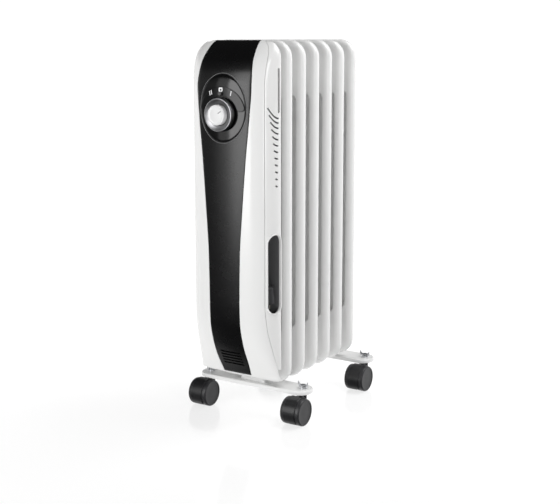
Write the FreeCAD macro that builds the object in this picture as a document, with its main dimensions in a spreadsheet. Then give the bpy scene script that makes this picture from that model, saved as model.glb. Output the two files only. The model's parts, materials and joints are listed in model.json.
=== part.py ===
"""Oil filled radiator heater on twin-wheel casters.

Millimetres, +Z up. X is across the fins, the control housing faces -Y and the fins follow it
towards +Y. The origin is on the floor, under the middle of the heater.
"""
import FreeCAD, Part
import math
import os
import re
import Sketcher

Vector = FreeCAD.Vector
Rotation = FreeCAD.Rotation
ALONG_Y = Rotation(Vector(1, 0, 0), -90)
ALONG_X = Rotation(Vector(0, 1, 0), 90)
UPRIGHT = Rotation()

# name: (value, what it is)
SIZES = {
    "fin_count": (6, "oil filled fins"),
    "fin_width": (150, "fin, across"),
    "fin_height": (559, "fin, bottom to top"),
    "saddle_high": (6, "fin bottom above the bracket"),
    "fin_thick": (19, "fin, over its folded rim"),
    "fin_pitch": (41.5, "fin to fin"),
    "fin_corner": (29, "corner radius of a fin"),
    "fin_rim_round": (4, "rounding of the rim's edges"),
    "fin_sheet": (0.75, "steel sheet of a fin"),
    "fin_web": (1.6, "two sheets welded together"),
    "recess_edge": (10, "rim width beside the recess"),
    "recess_from_end": (87, "recess end to fin end"),
    "recess_corner": (10, "corner radius of the recess"),
    "channel_width": (46, "oil channel between the recesses"),
    "channel_drop": (2.5, "channel below the rim's face"),
    "collector_end": (49, "collector axis to fin end"),
    "collector_outer": (17, "collector radius"),
    "collector_bore": (13, "oil passage radius"),
    "collector_stub": (14, "closed end behind the last fin"),
    "element_rod": (4.25, "heating element rod radius"),
    "element_legs": (6, "element leg from the collector axis"),
    "element_terminal": (12, "element end inside the housing"),
    "flange_radius": (21, "element flange"),
    "gasket_thick": (1.5, "element gasket"),
    "filler_radius": (4, "oil filler hole"),
    "filler_head": (8, "filler plug head radius"),
    "filler_head_thick": (4, "filler plug head"),
    "housing_half": (78, "half the housing's width"),
    "housing_depth": (51, "housing, front to back"),
    "housing_gap": (22.4, "housing back to first fin"),
    "housing_wall": (2.5, "housing wall"),
    "housing_corner": (38, "upright corner radius of the housing"),
    "housing_top_corner": (29, "top corner radius of the housing"),
    "housing_lift": (18, "front shell bottom above the bracket"),
    "cover_lift": (23, "rear cover bottom above the front shell's"),
    "crown": (5, "front face bow across the housing"),
    "crest_drop": (100, "top curve, down the front"),
    "toe_from_low": (137, "bottom curve, up the front"),
    "toe_in": (40, "bottom curve, front to back"),
    "seam_back": (16, "seam behind the front face"),
    "seam_gap": (0.4, "gap at the seam"),
    "band_top_half": (44, "half the dark band at its top"),
    "band_wide_half": (51, "half the dark band at its widest"),
    "band_slim_half": (29, "half the dark band at its slimmest"),
    "band_end_half": (27, "half the dark band at its bottom"),
    "band_wide_down": (72, "widest place of the dark band from the top"),
    "band_slim_up": (127, "slimmest place of the dark band from the front shell's bottom"),
    "band_thick": (1.5, "dark band sheet"),
    "backing_up": (20, "backing behind the band, from the front shell's bottom"),
    "backing_down": (35, "backing behind the band, from the top"),
    "seam_drop": (5, "height over which the seam runs level at the bottom"),
    "panel_room": (12, "free space behind the dial panel"),
    "fit_gap": (0.2, "gap round a part that is set in"),
    "grille_half": (20, "half a grille slot"),
    "grille_slot": (3, "grille slot height"),
    "grille_pitch": (5.4, "grille slot to slot"),
    "grille_up": (24, "lowest grille slot from the front shell's bottom"),
    "grille_count": (5, "grille slots"),
    "louvre_count": (12, "side louvres"),
    "louvre_down": (225, "lowest louvre from the top"),
    "louvre_rise": (117, "lowest to highest louvre"),
    "louvre_back": (12, "lowest louvre's rear end from the cover's back edge"),
    "louvre_fan": (4, "how much further back the highest louvre ends"),
    "louvre_short": (6, "lowest louvre, front to back"),
    "louvre_long": (22.6, "highest louvre, front to back"),
    "louvre_slot": (2.6, "louvre slot height"),
    "side_groove_down": (43, "upright groove's upper end from the top"),
    "side_groove_long": (69, "upright groove"),
    "side_groove_back": (8, "groove middle from the back edge"),
    "side_groove_width": (6, "groove width"),
    "side_groove_deep": (1.2, "groove depth"),
    "slot_back": (4, "cord slot from the cover's back edge"),
    "slot_width": (25, "cord slot, front to back"),
    "store_width": (34, "cord compartment, front to back"),
    "slot_up": (118, "cord slot from the front shell's bottom"),
    "slot_long": (127, "cord slot, bottom to top"),
    "rim_width": (4, "raised rim round the cord slot"),
    "rim_proud": (1.6, "raised rim above the side"),
    "liner_wall": (1.5, "cord compartment wall"),
    "liner_far": (70, "compartment end from the middle"),
    "dial_down": (114.5, "dial axis from the top"),
    "panel_half": (44, "half the dial panel's width"),
    "panel_half_high": (56, "half the dial panel's height"),
    "panel_up": (9.5, "dial panel middle above the dial axis"),
    "panel_thick": (6.5, "dial panel"),
    "panel_proud": (2, "dial panel in front of the housing"),
    "scale_inner": (28.5, "scale ring inner radius"),
    "scale_outer": (42, "scale ring outer radius"),
    "scale_thick": (2.5, "scale ring"),
    "scale_up": (6, "scale ring's ends above the dial axis"),
    "selector_radius": (26.5, "power selector radius"),
    "selector_thick": (8, "power selector"),
    "selector_web": (3, "power selector's back wall"),
    "knob_radius": (16.2, "thermostat knob radius"),
    "knob_proud": (16, "knob face in front of the housing"),
    "knob_gap": (0.6, "gap round the knob"),
    "moving_gap": (0.5, "gap behind a part that turns"),
    "spindle_radius": (3, "thermostat spindle"),
    "sleeve_radius": (5, "selector sleeve"),
    "press_gap": (0.02, "radial clearance of a pressed seat"),
    "run_fit": (0.05, "radial clearance of a running fit"),
    "lens_radius": (3, "pilot lamp lens"),
    "lens_up": (32.5, "pilot lamp above the dial axis"),
    "switch_radius": (19, "selector switch"),
    "switch_thick": (10, "selector switch"),
    "thermostat_side": (34, "thermostat body, across and up"),
    "thermostat_thick": (16, "thermostat body, front to back"),
    "plate_half": (45, "half the back plate's width"),
    "plate_above_slot": (27, "back plate from the cord slot"),
    "plate_below_dial": (30.5, "back plate from the dial axis"),
    "plate_thick": (1.2, "back plate"),
    "screw_radius": (1.9, "housing screw shank"),
    "screw_head": (3.6, "housing screw head"),
    "screw_room": (0.1, "clearance round a housing screw"),
    "screw_inset": (8, "housing screw from the plate's edges"),
    "block_width": (40, "terminal block, across"),
    "block_thick": (14, "terminal block, front to back"),
    "block_high": (18, "terminal block height"),
    "block_down": (60, "terminal block bottom from the plate's top"),
    "cutout_radius": (8, "thermal cut-out"),
    "cutout_thick": (9, "thermal cut-out"),
    "cutout_up": (30, "thermal cut-out from the plate's bottom"),
    "wire_radius": (1.4, "inner wire"),
    "standoff_radius": (10, "upper standoff"),
    "standoff_wall": (2, "upper standoff"),
    "bracket_half": (108, "half a bracket's length"),
    "bracket_width": (42, "bracket, front to back"),
    "caster_room": (2, "bracket's rim above the caster's hood"),
    "bracket_rim": (6.6, "bracket's turned down rim"),
    "bracket_sheet": (1.5, "bracket sheet"),
    "bracket_round": (2, "bracket's top edge"),
    "saddle_half": (30, "half the saddle under a fin"),
    "stem_x": (93, "caster stem from the middle"),
    "stem_behind_first": (19.6, "front stem behind the first fin's face"),
    "stem_behind_last": (6.1, "rear stem behind the last fin's back"),
    "stem_radius": (4, "caster stem"),
    "stem_above": (8, "caster stem above the bracket"),
    "boss_radius": (6, "caster boss under the bracket"),
    "wheel_radius": (22.4, "caster wheel"),
    "wheel_width": (13, "caster wheel tread"),
    "wheel_round": (1.5, "caster wheel edge"),
    "wheel_dish": (0.8, "recess in the wheel's outer face"),
    "web_half": (4.5, "half the caster's middle web"),
    "wheel_gap": (0.4, "wheel beside the web"),
    "caster_trail": (22, "wheel axle in front of its stem"),
    "axle_radius": (2.5, "caster axle"),
    "hood_gap": (0.5, "hood outside the wheel"),
    "hood_wall": (1.1, "hood wall"),
    "nut_radius": (6, "wing nut hub"),
    "nut_high": (6, "wing nut hub"),
    "wing_reach": (9, "wing nut, middle to wing tip"),
    "wing_rise": (12, "wing nut, wing tip above the bracket"),
    "wing_thick": (2.2, "wing nut, wing"),
    "bolt_radius": (2.5, "collector U-bolt rod"),
    "bolt_gap": (0.1, "U-bolt round the collector"),
    "bolt_nut": (4.6, "U-bolt nut"),
    "cord_radius": (3.5, "mains lead"),
    "coil_mean": (38, "coil radius at the middle of its turns"),
    "coil_outer": (49, "coil outer radius"),
    "coil_inner": (27, "coil inner radius"),
    "coil_thick": (15, "coil, front to back"),
    "coil_x": (-15, "coil middle, across"),
    "coil_down": (57.5, "coil middle from the cord slot's top"),
    "plug_x": (52.5, "plug axis, across"),
    "plug_radius": (14, "plug body"),
    "plug_high": (28, "plug body"),
    "plug_up": (15, "plug face from the cord slot's bottom"),
    "plug_neck": (20, "plug's strain relief"),
    "pin_radius": (2.4, "plug pin"),
    "pin_long": (12, "plug pin"),
    "pin_half": (9.5, "plug pin from the plug's axis"),
    "gland_radius": (6, "cord gland"),
    "gland_neck": (4.4, "cord gland's neck in the compartment wall"),
    "gland_seat": (8, "lead inside the gland"),
    "gland_lip": (1.2, "gland's wall at its thin end"),
    "tie_room": (0.4, "cord tie round the turns"),
    "tie_thick": (1.2, "cord tie strap"),
    "tie_high": (6, "cord tie strap, bottom to top"),
    "spare": (1, "how far a cutting form runs past what it cuts"),
    "spindle_seat": (4, "spindle end behind the knob's face"),
    "knob_edge": (1.2, "rounding of the knob's edge"),
    "pointer_half": (0.9, "half the knob pointer's width"),
    "pointer_deep": (0.8, "knob pointer depth"),
    "screw_head_thick": (2.4, "housing screw head"),
    "lens_proud": (0.8, "pilot lens in front of the scale ring"),
    "gland_long": (14, "cord gland inside the compartment"),
}

# name: how it follows from the sizes
PLACES = {
    "axle_z": "wheel_radius",
    "hood_inner": "wheel_radius + hood_gap",
    "hood_outer": "hood_inner + hood_wall",
    "bracket_top": "axle_z + hood_outer + caster_room + bracket_rim",
    "bracket_under": "bracket_top - bracket_sheet",
    "fin_low": "bracket_top + saddle_high",
    "top_z": "fin_low + fin_height",
    "housing_low": "bracket_top + housing_lift",
    "cover_low": "housing_low + cover_lift",
    "band_wide_z": "top_z - band_wide_down",
    "band_slim_z": "housing_low + band_slim_up",
    "grille_low": "housing_low + grille_up",
    "louvre_low": "top_z - louvre_down",
    "side_groove_high": "top_z - side_groove_down",
    "side_groove_low": "side_groove_high - side_groove_long",
    "slot_low": "housing_low + slot_up",
    "slot_high": "slot_low + slot_long",
    "dial_z": "top_z - dial_down",
    "plate_low": "slot_high + plate_above_slot",
    "plate_high": "dial_z - plate_below_dial",
    "block_z": "plate_high - block_down",
    "cutout_z": "plate_low + cutout_up",
    "coil_z": "slot_high - coil_down",
    "lead_z": "coil_z + coil_outer - cord_radius",
    "plug_low": "slot_low + plug_up",
    "rear_reach": "stem_behind_last + bracket_width / 2",
    "stack_long": "(fin_count - 1) * fin_pitch + fin_thick",
    "total_long": "knob_proud + housing_depth + housing_gap + stack_long + rear_reach",
    "knob_face_y": "-total_long / 2",
    "face_y": "knob_face_y + knob_proud",
    "back_y": "face_y + housing_depth",
    "first_fin_y": "back_y + housing_gap",
    "last_fin_back_y": "first_fin_y + stack_long",
    "fin_gap": "fin_pitch - fin_thick",
    "low_collector_z": "fin_low + collector_end",
    "up_collector_z": "top_z - collector_end",
    "front_stem_y": "first_fin_y + stem_behind_first",
    "rear_stem_y": "last_fin_back_y + stem_behind_last",
    "inner_back_y": "back_y - housing_wall",
    "panel_face_y": "face_y - panel_proud",
    "panel_back_y": "panel_face_y + panel_thick",
    "panel_z": "dial_z + panel_up",
    "slot_back_y": "back_y - slot_back",
    "slot_y": "slot_back_y - slot_width / 2",
    "store_y": "slot_back_y - store_width / 2",
    "plate_y": "inner_back_y - plate_thick",
    "thermostat_y": "panel_back_y + switch_thick",
    "wheel_inner_x": "web_half + wheel_gap",
    "wheel_outer_x": "wheel_inner_x + wheel_width",
}

doc = FreeCAD.newDocument("OilRadiator")
sheet = doc.addObject("Spreadsheet::Sheet", "Sizes")
for row, (alias, (number, note)) in enumerate(SIZES.items(), start=1):
    sheet.set(f"A{row}", note)
    sheet.set(f"B{row}", str(number))
    sheet.setAlias(f"B{row}", alias)
gauge = doc.addObject("App::VarSet", "Gauge")
gauge.addProperty("App::PropertyFloat", "reading")
doc.recompute()

SUBPARTS = []


def full(rule):
    """Writes a rule's names out as cells of the sheet."""
    def cell(word):
        name = word.group(0)
        if name in PLACES:
            return f"({full(PLACES[name])})"
        return f"Sizes.{name}" if name in SIZES else name
    return re.sub(r"[a-z_]+", cell, str(rule))


def value(rule):
    """What a rule comes to, as a number."""
    gauge.setExpression("reading", full(rule))
    gauge.recompute()
    return gauge.reading


def bind(item, **rules):
    for prop, rule in rules.items():
        item.setExpression(prop, full(rule))
    return item


def put(item, x=0, y=0, z=0, turn=UPRIGHT):
    item.Placement = FreeCAD.Placement(Vector(), turn)
    for axis, rule in zip("xyz", (x, y, z)):
        item.setExpression(f"Placement.Base.{axis}", full(rule))
    return item


def box(x, y, z):
    """A box from three (start, end) pairs of rules."""
    item = doc.addObject("Part::Box", "Block")
    bind(item, Length=f"({x[1]}) - ({x[0]})", Width=f"({y[1]}) - ({y[0]})", Height=f"({z[1]}) - ({z[0]})")
    return put(item, x[0], y[0], z[0])


def rod(radius, long, x=0, y=0, z=0, turn=UPRIGHT):
    """A cylinder that starts at x, y, z and runs along Z, or as turned."""
    item = doc.addObject("Part::Cylinder", "Rod")
    bind(item, Radius=radius, Height=long)
    return put(item, x, y, z, turn)


def fuse(*items):
    item = doc.addObject("Part::MultiFuse", "Union")
    item.Shapes = list(items)
    return item


def common(*items):
    item = doc.addObject("Part::MultiCommon", "Overlap")
    item.Shapes = list(items)
    return item


def cut(base, *tools):
    item = doc.addObject("Part::Cut", "Difference")
    item.Base = base
    item.Tool = tools[0] if len(tools) == 1 else fuse(*tools)
    return item


def group(*items):
    item = doc.addObject("Part::Compound", "Set")
    item.Links = list(items)
    return item


def plain(shape, name="Form"):
    """A feature with a shape made by Part's own functions."""
    item = doc.addObject("Part::Feature", name)
    item.Shape = shape
    return item


def subpart(item, node):
    item.Label = node
    SUBPARTS.append(item)
    return item


# ---- sketches and bodies ----

def new_body(name):
    return doc.addObject("PartDesign::Body", name)


def origin_plane(body, role):
    return next(plane for plane in body.Origin.OriginFeatures if plane.Role == role)


def new_sketch(body, role, lift=0):
    """A sketch on one of the body's own origin planes, lifted along the plane's normal."""
    sketch = body.newObject("Sketcher::SketchObject", "Outline")
    sketch.AttachmentSupport = [(origin_plane(body, role), "")]
    sketch.MapMode = "FlatFace"
    sketch.setExpression("AttachmentOffset.Base.z", full(lift))
    return sketch


def pin_down(sketch, kind, geometry, point, rule):
    """Fixes a point's distance from the sketch's origin along one axis."""
    index = sketch.addConstraint(Sketcher.Constraint(kind, -1, 1, geometry, point, value(rule)))
    sketch.setExpression(f"Constraints[{index}]", full(rule))


def circle(sketch, x, y, radius):
    middle = Vector(value(x), value(y), 0)
    geometry = sketch.addGeometry(Part.Circle(middle, Vector(0, 0, 1), value(radius)))
    pin_down(sketch, "DistanceX", geometry, 3, x)
    pin_down(sketch, "DistanceY", geometry, 3, y)
    index = sketch.addConstraint(Sketcher.Constraint("Radius", geometry, value(radius)))
    sketch.setExpression(f"Constraints[{index}]", full(radius))


def round_rect(sketch, left, right, low, high, corner):
    """A rectangle with round corners, from the rules of its four sides."""
    x0, x1, y0, y1, r = (value(rule) for rule in (left, right, low, high, corner))
    ends = [
        (Vector(x0 + r, y0), Vector(x1 - r, y0)),
        (Vector(x1, y0 + r), Vector(x1, y1 - r)),
        (Vector(x1 - r, y1), Vector(x0 + r, y1)),
        (Vector(x0, y1 - r), Vector(x0, y0 + r)),
    ]
    sides = [sketch.addGeometry(Part.LineSegment(a, b)) for a, b in ends]
    corners = ((x1 - r, y0 + r), (x1 - r, y1 - r), (x0 + r, y1 - r), (x0 + r, y0 + r))
    middles = [Vector(x, y) for x, y in corners]
    corners = []
    for step, middle in enumerate(middles):
        start = (step - 1) * math.pi / 2
        ring = Part.Circle(middle, Vector(0, 0, 1), r)
        corners.append(sketch.addGeometry(Part.ArcOfCircle(ring, start, start + math.pi / 2)))
    for step, arc in enumerate(corners):
        sketch.addConstraint(Sketcher.Constraint("Tangent", sides[step], 2, arc, 1))
        sketch.addConstraint(Sketcher.Constraint("Tangent", arc, 2, sides[(step + 1) % 4], 1))
    for kind, side in (("Horizontal", 0), ("Vertical", 1), ("Horizontal", 2), ("Vertical", 3)):
        sketch.addConstraint(Sketcher.Constraint(kind, sides[side]))
    for arc in corners[1:]:
        sketch.addConstraint(Sketcher.Constraint("Equal", corners[0], arc))
    index = sketch.addConstraint(Sketcher.Constraint("Radius", corners[0], r))
    sketch.setExpression(f"Constraints[{index}]", full(corner))
    pin_down(sketch, "DistanceY", sides[0], 1, low)
    pin_down(sketch, "DistanceX", sides[1], 1, right)
    pin_down(sketch, "DistanceY", sides[2], 1, high)
    pin_down(sketch, "DistanceX", sides[3], 1, left)


def polygon(sketch, points):
    """A closed outline of straight sides, from (x, y) rules."""
    spots = [Vector(value(x), value(y)) for x, y in points]
    lines = [
        sketch.addGeometry(Part.LineSegment(spot, spots[(step + 1) % len(spots)]))
        for step, spot in enumerate(spots)
    ]
    for step, line in enumerate(lines):
        sketch.addConstraint(Sketcher.Constraint("Coincident", line, 2, lines[(step + 1) % len(lines)], 1))
    for line, (x, y) in zip(lines, points):
        pin_down(sketch, "DistanceX", line, 1, x)
        pin_down(sketch, "DistanceY", line, 1, y)


def pad(body, sketch, long, backwards=False):
    feature = body.newObject("PartDesign::Pad", "Pad")
    feature.Profile = sketch
    feature.Reversed = backwards
    return bind(feature, Length=long)


def pocket(body, sketch, deep, backwards=False):
    """Cuts a sketch's outline into the body and makes sure that it cut something."""
    doc.recompute()
    before = body.Shape.Volume
    feature = body.newObject("PartDesign::Pocket", "Pocket")
    feature.Profile = sketch
    feature.Reversed = backwards
    bind(feature, Length=deep)
    doc.recompute()
    if body.Shape.Volume > before - 1:
        raise ValueError(f"{body.Label}: a pocket cuts nothing")
    return feature


def revolve(body, sketch, axis):
    """Turns an outline in a plane about the sketch's own axis, such as V_Axis."""
    feature = body.newObject("PartDesign::Revolution", "Turned")
    feature.Profile = sketch
    feature.ReferenceAxis = (sketch, [axis])
    feature.Angle = 360
    return feature


def round_edges(body, base, radius, chosen):
    """Rounds the edges that chosen(edge) accepts."""
    doc.recompute()
    names = [f"Edge{n}" for n, edge in enumerate(base.Shape.Edges, start=1) if chosen(edge)]
    feature = body.newObject("PartDesign::Fillet", "Round")
    feature.Base = (base, names)
    return bind(feature, Radius=radius)


def lies_on(axis, *levels):
    """Accepts edges that lie wholly on one of the levels along an axis."""
    def chosen(edge):
        low, high = getattr(edge.BoundBox, f"{axis}Min"), getattr(edge.BoundBox, f"{axis}Max")
        return any(abs(low - level) < 1e-4 and abs(high - level) < 1e-4 for level in levels)
    return chosen


# ---- fins, collectors and heating element ----

def fin_form(name, inset, thick, start):
    """A fin's outside, or with an inset its hollow: round rectangle, recesses and oil channel."""
    body = new_body(name)
    half = f"fin_width / 2 - ({inset})"
    outline = new_sketch(body, "XZ_Plane", f"-({start})")
    ends = (f"fin_low + ({inset})", f"top_z - ({inset})")
    round_rect(outline, f"-({half})", half, *ends, f"fin_corner - ({inset})")
    blank = pad(body, outline, thick, backwards=True)
    faces = (value(start), value(f"({start}) + ({thick})"))
    rim = round_edges(body, blank, f"fin_rim_round - ({inset})", lies_on("Y", *faces))
    body.Tip = rim
    deep = "(fin_thick - fin_web) / 2" if inset == "0" else thick
    cuts = [(start, deep, False)]
    if inset == "0":
        cuts.append((f"({start}) + ({thick})", deep, True))
    inner, outer = f"channel_width / 2 - ({inset})", f"fin_width / 2 - recess_edge + ({inset})"
    low, high = f"fin_low + recess_from_end - ({inset})", f"top_z - recess_from_end + ({inset})"
    for level, depth, backwards in cuts:
        recess = new_sketch(body, "XZ_Plane", f"-({level})")
        for left, right in ((inner, outer), (f"-({outer})", f"-({inner})")):
            round_rect(recess, left, right, low, high, f"recess_corner + ({inset})")
        pocket(body, recess, depth, backwards)
    for level, backwards in ((start, False), (f"({start}) + ({thick})", True)):
        channel = new_sketch(body, "XZ_Plane", f"-({level})")
        reach = f"channel_width / 2 + ({inset})"
        round_rect(channel, f"-({reach})", reach, low, high, f"recess_corner + ({inset})")
        pocket(body, channel, "channel_drop", backwards)
    return body


def fin_blank(first, last):
    """A hollow fin with its collector passages; the end fins are closed outwards."""
    start = "fin_thick / 2" if first else "-1"
    end = "fin_thick / 2" if last else "fin_thick + 1"
    passages = [
        rod("collector_bore", f"({end}) + 1", 0, -1, "low_collector_z", ALONG_Y),
        rod("collector_bore", f"({end}) - ({start})", 0, start, "up_collector_z", ALONG_Y),
    ]
    if last:
        passages.append(rod("filler_radius", "fin_thick", 0, "fin_thick / 2", "up_collector_z", ALONG_Y))
    return cut(fin_outside, fin_hollow, *passages)


def fins():
    count = int(value("fin_count"))
    blanks = {
        "first": fin_blank(True, False),
        "middle": fin_blank(False, False),
        "last": fin_blank(False, True),
    }
    doc.recompute()
    for number in range(count):
        kind = "first" if number == 0 else "last" if number == count - 1 else "middle"
        fin = plain(blanks[kind].Shape.copy(), "Fin")
        put(fin, 0, f"first_fin_y + {number} * fin_pitch", 0)
        subpart(fin, f"fin_{number + 1}")


def collector(node, height, stub):
    """Short oil pipes between the fins, and a closed stub behind the last one where asked."""
    pipes = []
    for number in range(int(value("fin_count")) - 1):
        start = f"first_fin_y + fin_thick + {number} * fin_pitch"
        outside = rod("collector_outer", "fin_gap", 0, start, height, ALONG_Y)
        bore = rod("collector_bore", "fin_gap", 0, start, height, ALONG_Y)
        pipes.append(cut(outside, bore))
    if stub:
        pipes.append(rod("collector_outer", "collector_stub", 0, "last_fin_back_y", height, ALONG_Y))
    subpart(group(*pipes), node)


def heating_element():
    """A U-shaped tubular element along the lower collector, its flange and gasket."""
    front = "inner_back_y - element_terminal"
    bend = "last_fin_back_y - fin_thick / 2 - element_legs - element_rod - 2"
    legs = [
        rod("element_rod", f"({bend}) - ({front})", x, front, "low_collector_z", ALONG_Y)
        for x in ("-element_legs", "element_legs")
    ]
    turn = doc.addObject("Part::Torus", "Bend")
    bind(turn, Radius1="element_legs", Radius2="element_rod")
    turn.Angle3 = 180
    put(turn, 0, bend, "low_collector_z")
    subpart(fuse(*legs, turn), "heating_element")

    bores = [
        rod("element_rod + run_fit", "housing_gap + 2", x, "back_y - 1", "low_collector_z", ALONG_Y)
        for x in ("-element_legs", "element_legs")
    ]
    long = "housing_gap - gasket_thick"
    nut = doc.addObject("Part::Prism", "Hexagon")
    nut.Polygon = 6
    bind(nut, Circumradius="flange_radius", Height=long)
    put(nut, 0, "back_y", "low_collector_z", ALONG_Y)
    subpart(cut(nut, *bores), "element_flange")
    seat = (0, "first_fin_y - gasket_thick", "low_collector_z", ALONG_Y)
    ring = rod("flange_radius - 2", "gasket_thick", *seat)
    hole = rod("collector_bore", "gasket_thick", *seat)
    subpart(cut(ring, hole), "element_gasket")


def filler_plug():
    shank = rod(
        "filler_radius - run_fit", "filler_head_thick + 2",
        0, "last_fin_back_y - 2", "up_collector_z", ALONG_Y,
    )
    head = doc.addObject("Part::Prism", "Hexagon")
    head.Polygon = 6
    bind(head, Circumradius="filler_head", Height="filler_head_thick")
    put(head, 0, "last_fin_back_y", "up_collector_z", ALONG_Y)
    subpart(fuse(shank, head), "filler_plug")


def upper_standoff():
    """The spacer that holds the housing's top off the first fin."""
    outside = rod("standoff_radius", "housing_gap", 0, "back_y", "up_collector_z", ALONG_Y)
    bore = rod("standoff_radius - standoff_wall", "housing_gap", 0, "back_y", "up_collector_z", ALONG_Y)
    subpart(cut(outside, bore), "upper_standoff")


# ---- brackets and casters ----

def bracket(node, middle, saddle):
    """A pressed plate with a turned down rim, stem holes, bolt holes and a saddle under its fin."""
    body = new_body("BracketPlate")
    top = new_sketch(body, "XY_Plane", "bracket_top - bracket_rim")
    low, high = f"({middle}) - bracket_width / 2", f"({middle}) + bracket_width / 2"
    round_rect(top, "-bracket_half", "bracket_half", low, high, "bracket_width / 2 - 1")
    plate = pad(body, top, "bracket_rim")
    edge = round_edges(body, plate, "bracket_round", lies_on("Z", value("bracket_top")))
    body.Tip = edge
    under = new_sketch(body, "XY_Plane", "bracket_top - bracket_rim")
    inset = "bracket_half - bracket_sheet"
    round_rect(
        under, f"-({inset})", inset, f"({low}) + bracket_sheet", f"({high}) - bracket_sheet",
        "bracket_width / 2 - 1 - bracket_sheet",
    )
    pocket(body, under, "bracket_rim - bracket_sheet", backwards=True)
    stems = new_sketch(body, "XY_Plane", "bracket_top")
    for x in ("-stem_x", "stem_x"):
        circle(stems, x, middle, "stem_radius + run_fit")
    pocket(body, stems, "bracket_sheet * 2")
    bolts = [
        rod("bolt_radius + run_fit", 20, x, u_bolt_y(node), "bracket_under - 10")
        for x in (f"-({U_BOLT_X})", U_BOLT_X)
    ]
    block = box(("-saddle_half", "saddle_half"), saddle, ("bracket_top - 0.5", "fin_low"))
    subpart(cut(fuse(body, block), *bolts), node)


U_BOLT_X = "collector_outer + bolt_radius + bolt_gap"


def u_bolt_y(node):
    """The front bolt is in the first gap between fins, the rear one round the collector's stub."""
    if node == "front_bracket":
        return "first_fin_y + fin_thick + fin_gap / 2"
    return "last_fin_back_y + collector_stub / 2"


def u_bolts():
    bolts, nuts = [], []
    for node in ("front_bracket", "rear_bracket"):
        y = u_bolt_y(node)
        low = "bracket_top - bracket_rim"
        legs = [
            rod("bolt_radius", f"low_collector_z - ({low})", x, y, low)
            for x in (f"-({U_BOLT_X})", U_BOLT_X)
        ]
        turn = doc.addObject("Part::Torus", "Bend")
        bind(turn, Radius1=U_BOLT_X, Radius2="bolt_radius")
        turn.Angle3 = 180
        put(turn, 0, y, "low_collector_z", Rotation(Vector(1, 0, 0), 90))
        bolts.append(fuse(*legs, turn))
        for x in (f"-({U_BOLT_X})", U_BOLT_X):
            nut = doc.addObject("Part::Prism", "Hexagon")
            nut.Polygon = 6
            bind(nut, Circumradius="bolt_nut", Height="bracket_rim - bracket_sheet - 1")
            put(nut, x, y, f"({low}) + 1")
            nuts.append(cut(nut, rod("bolt_radius + run_fit", "bracket_rim", x, y, low)))
    subpart(group(*bolts), "u_bolts")
    subpart(group(*nuts), "u_bolt_nuts")


CASTERS = {
    "front_left": ("-stem_x", "front_stem_y"),
    "front_right": ("stem_x", "front_stem_y"),
    "rear_left": ("-stem_x", "rear_stem_y"),
    "rear_right": ("stem_x", "rear_stem_y"),
}


def wing_nuts():
    nuts = []
    for x, y in CASTERS.values():
        hub = rod("nut_radius", "nut_high", x, y, "bracket_top")
        wing = box(
            (f"({x}) - wing_reach", f"({x}) + wing_reach"),
            (f"({y}) - wing_thick / 2", f"({y}) + wing_thick / 2"),
            ("bracket_top + nut_high / 2", "bracket_top + wing_rise"),
        )
        notch = rod(
            "wing_rise - nut_high / 2 + 0.5", "wing_thick * 2",
            x, f"({y}) - wing_thick", "bracket_top + wing_rise + 2.5", ALONG_Y,
        )
        bore = rod("stem_radius + run_fit", "wing_rise + 2", x, y, "bracket_top - 1")
        nuts.append(cut(fuse(hub, cut(wing, notch)), bore))
    subpart(group(*nuts), "wing_nuts")


def hood_sector(x, y):
    """The hood's wall: a ring round the wheels, open below and behind."""
    half = "wheel_outer_x"
    outside = rod("hood_outer", f"2 * ({half})", f"({x}) - ({half})", y, "axle_z", ALONG_X)
    inside = rod("hood_inner", f"2 * ({half}) + 2", f"({x}) - ({half}) - 1", y, "axle_z", ALONG_X)
    across = (f"({x}) - ({half}) - 1", f"({x}) + ({half}) + 1")
    rear = f"({y}) + hood_outer + spare"
    behind = box(across, (f"({y}) + hood_outer * 0.55", rear), ("-2 * spare", "2 * hood_outer"))
    below = box(across, (f"({y}) - hood_outer * 0.8", rear), ("-2 * spare", "axle_z"))
    toe = box(across, (f"({y}) - hood_outer - spare", rear), ("-2 * spare", "axle_z * 0.3"))
    return cut(outside, inside, behind, below, toe)


def caster(place, x, stem_y):
    """Swivel frame with its stem and hood, an axle and two wheels."""
    y = f"({stem_y}) - caster_trail"
    web = common(
        rod("hood_inner + 0.3", "2 * web_half", f"({x}) - web_half", y, "axle_z", ALONG_X),
        box(
            (f"({x}) - web_half", f"({x}) + web_half"),
            (f"({y}) - hood_outer", f"({y}) + hood_outer"),
            ("axle_z * 0.45", "3 * axle_z"),
        ),
    )
    boss_low = "axle_z + 4"
    boss = rod("boss_radius", f"bracket_under - moving_gap - ({boss_low})", x, stem_y, boss_low)
    room = [
        rod("hood_inner", "wheel_width + 2 * wheel_gap", f"({x}) + {side}", y, "axle_z", ALONG_X)
        for side in ("web_half", "(-web_half - wheel_width - 2 * wheel_gap)")
    ]
    arm = box((f"({x}) - web_half", f"({x}) + web_half"), (y, stem_y), (boss_low, "axle_z + 18"))
    pin = rod("stem_radius", "stem_above + bracket_sheet + 2", x, stem_y, "bracket_under - 2")
    bore = rod("axle_radius", "2 * web_half + 2", f"({x}) - web_half - 1", y, "axle_z", ALONG_X)
    frame = cut(fuse(web, hood_sector(x, y), cut(fuse(boss, arm), *room), pin), bore)
    subpart(frame, f"caster_{place}_frame")
    reach = "wheel_outer_x - wheel_dish - 1"
    axle = rod("axle_radius", f"2 * ({reach})", f"({x}) - ({reach})", y, "axle_z", ALONG_X)
    subpart(axle, f"caster_{place}_axle")
    for side, sign in (("left", -1), ("right", 1)):
        wheel = wheel_body(f"Wheel_{place}_{side}", sign)
        put(wheel, x, y, "axle_z")
        subpart(wheel, f"caster_{place}_wheel_{side}")


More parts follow.
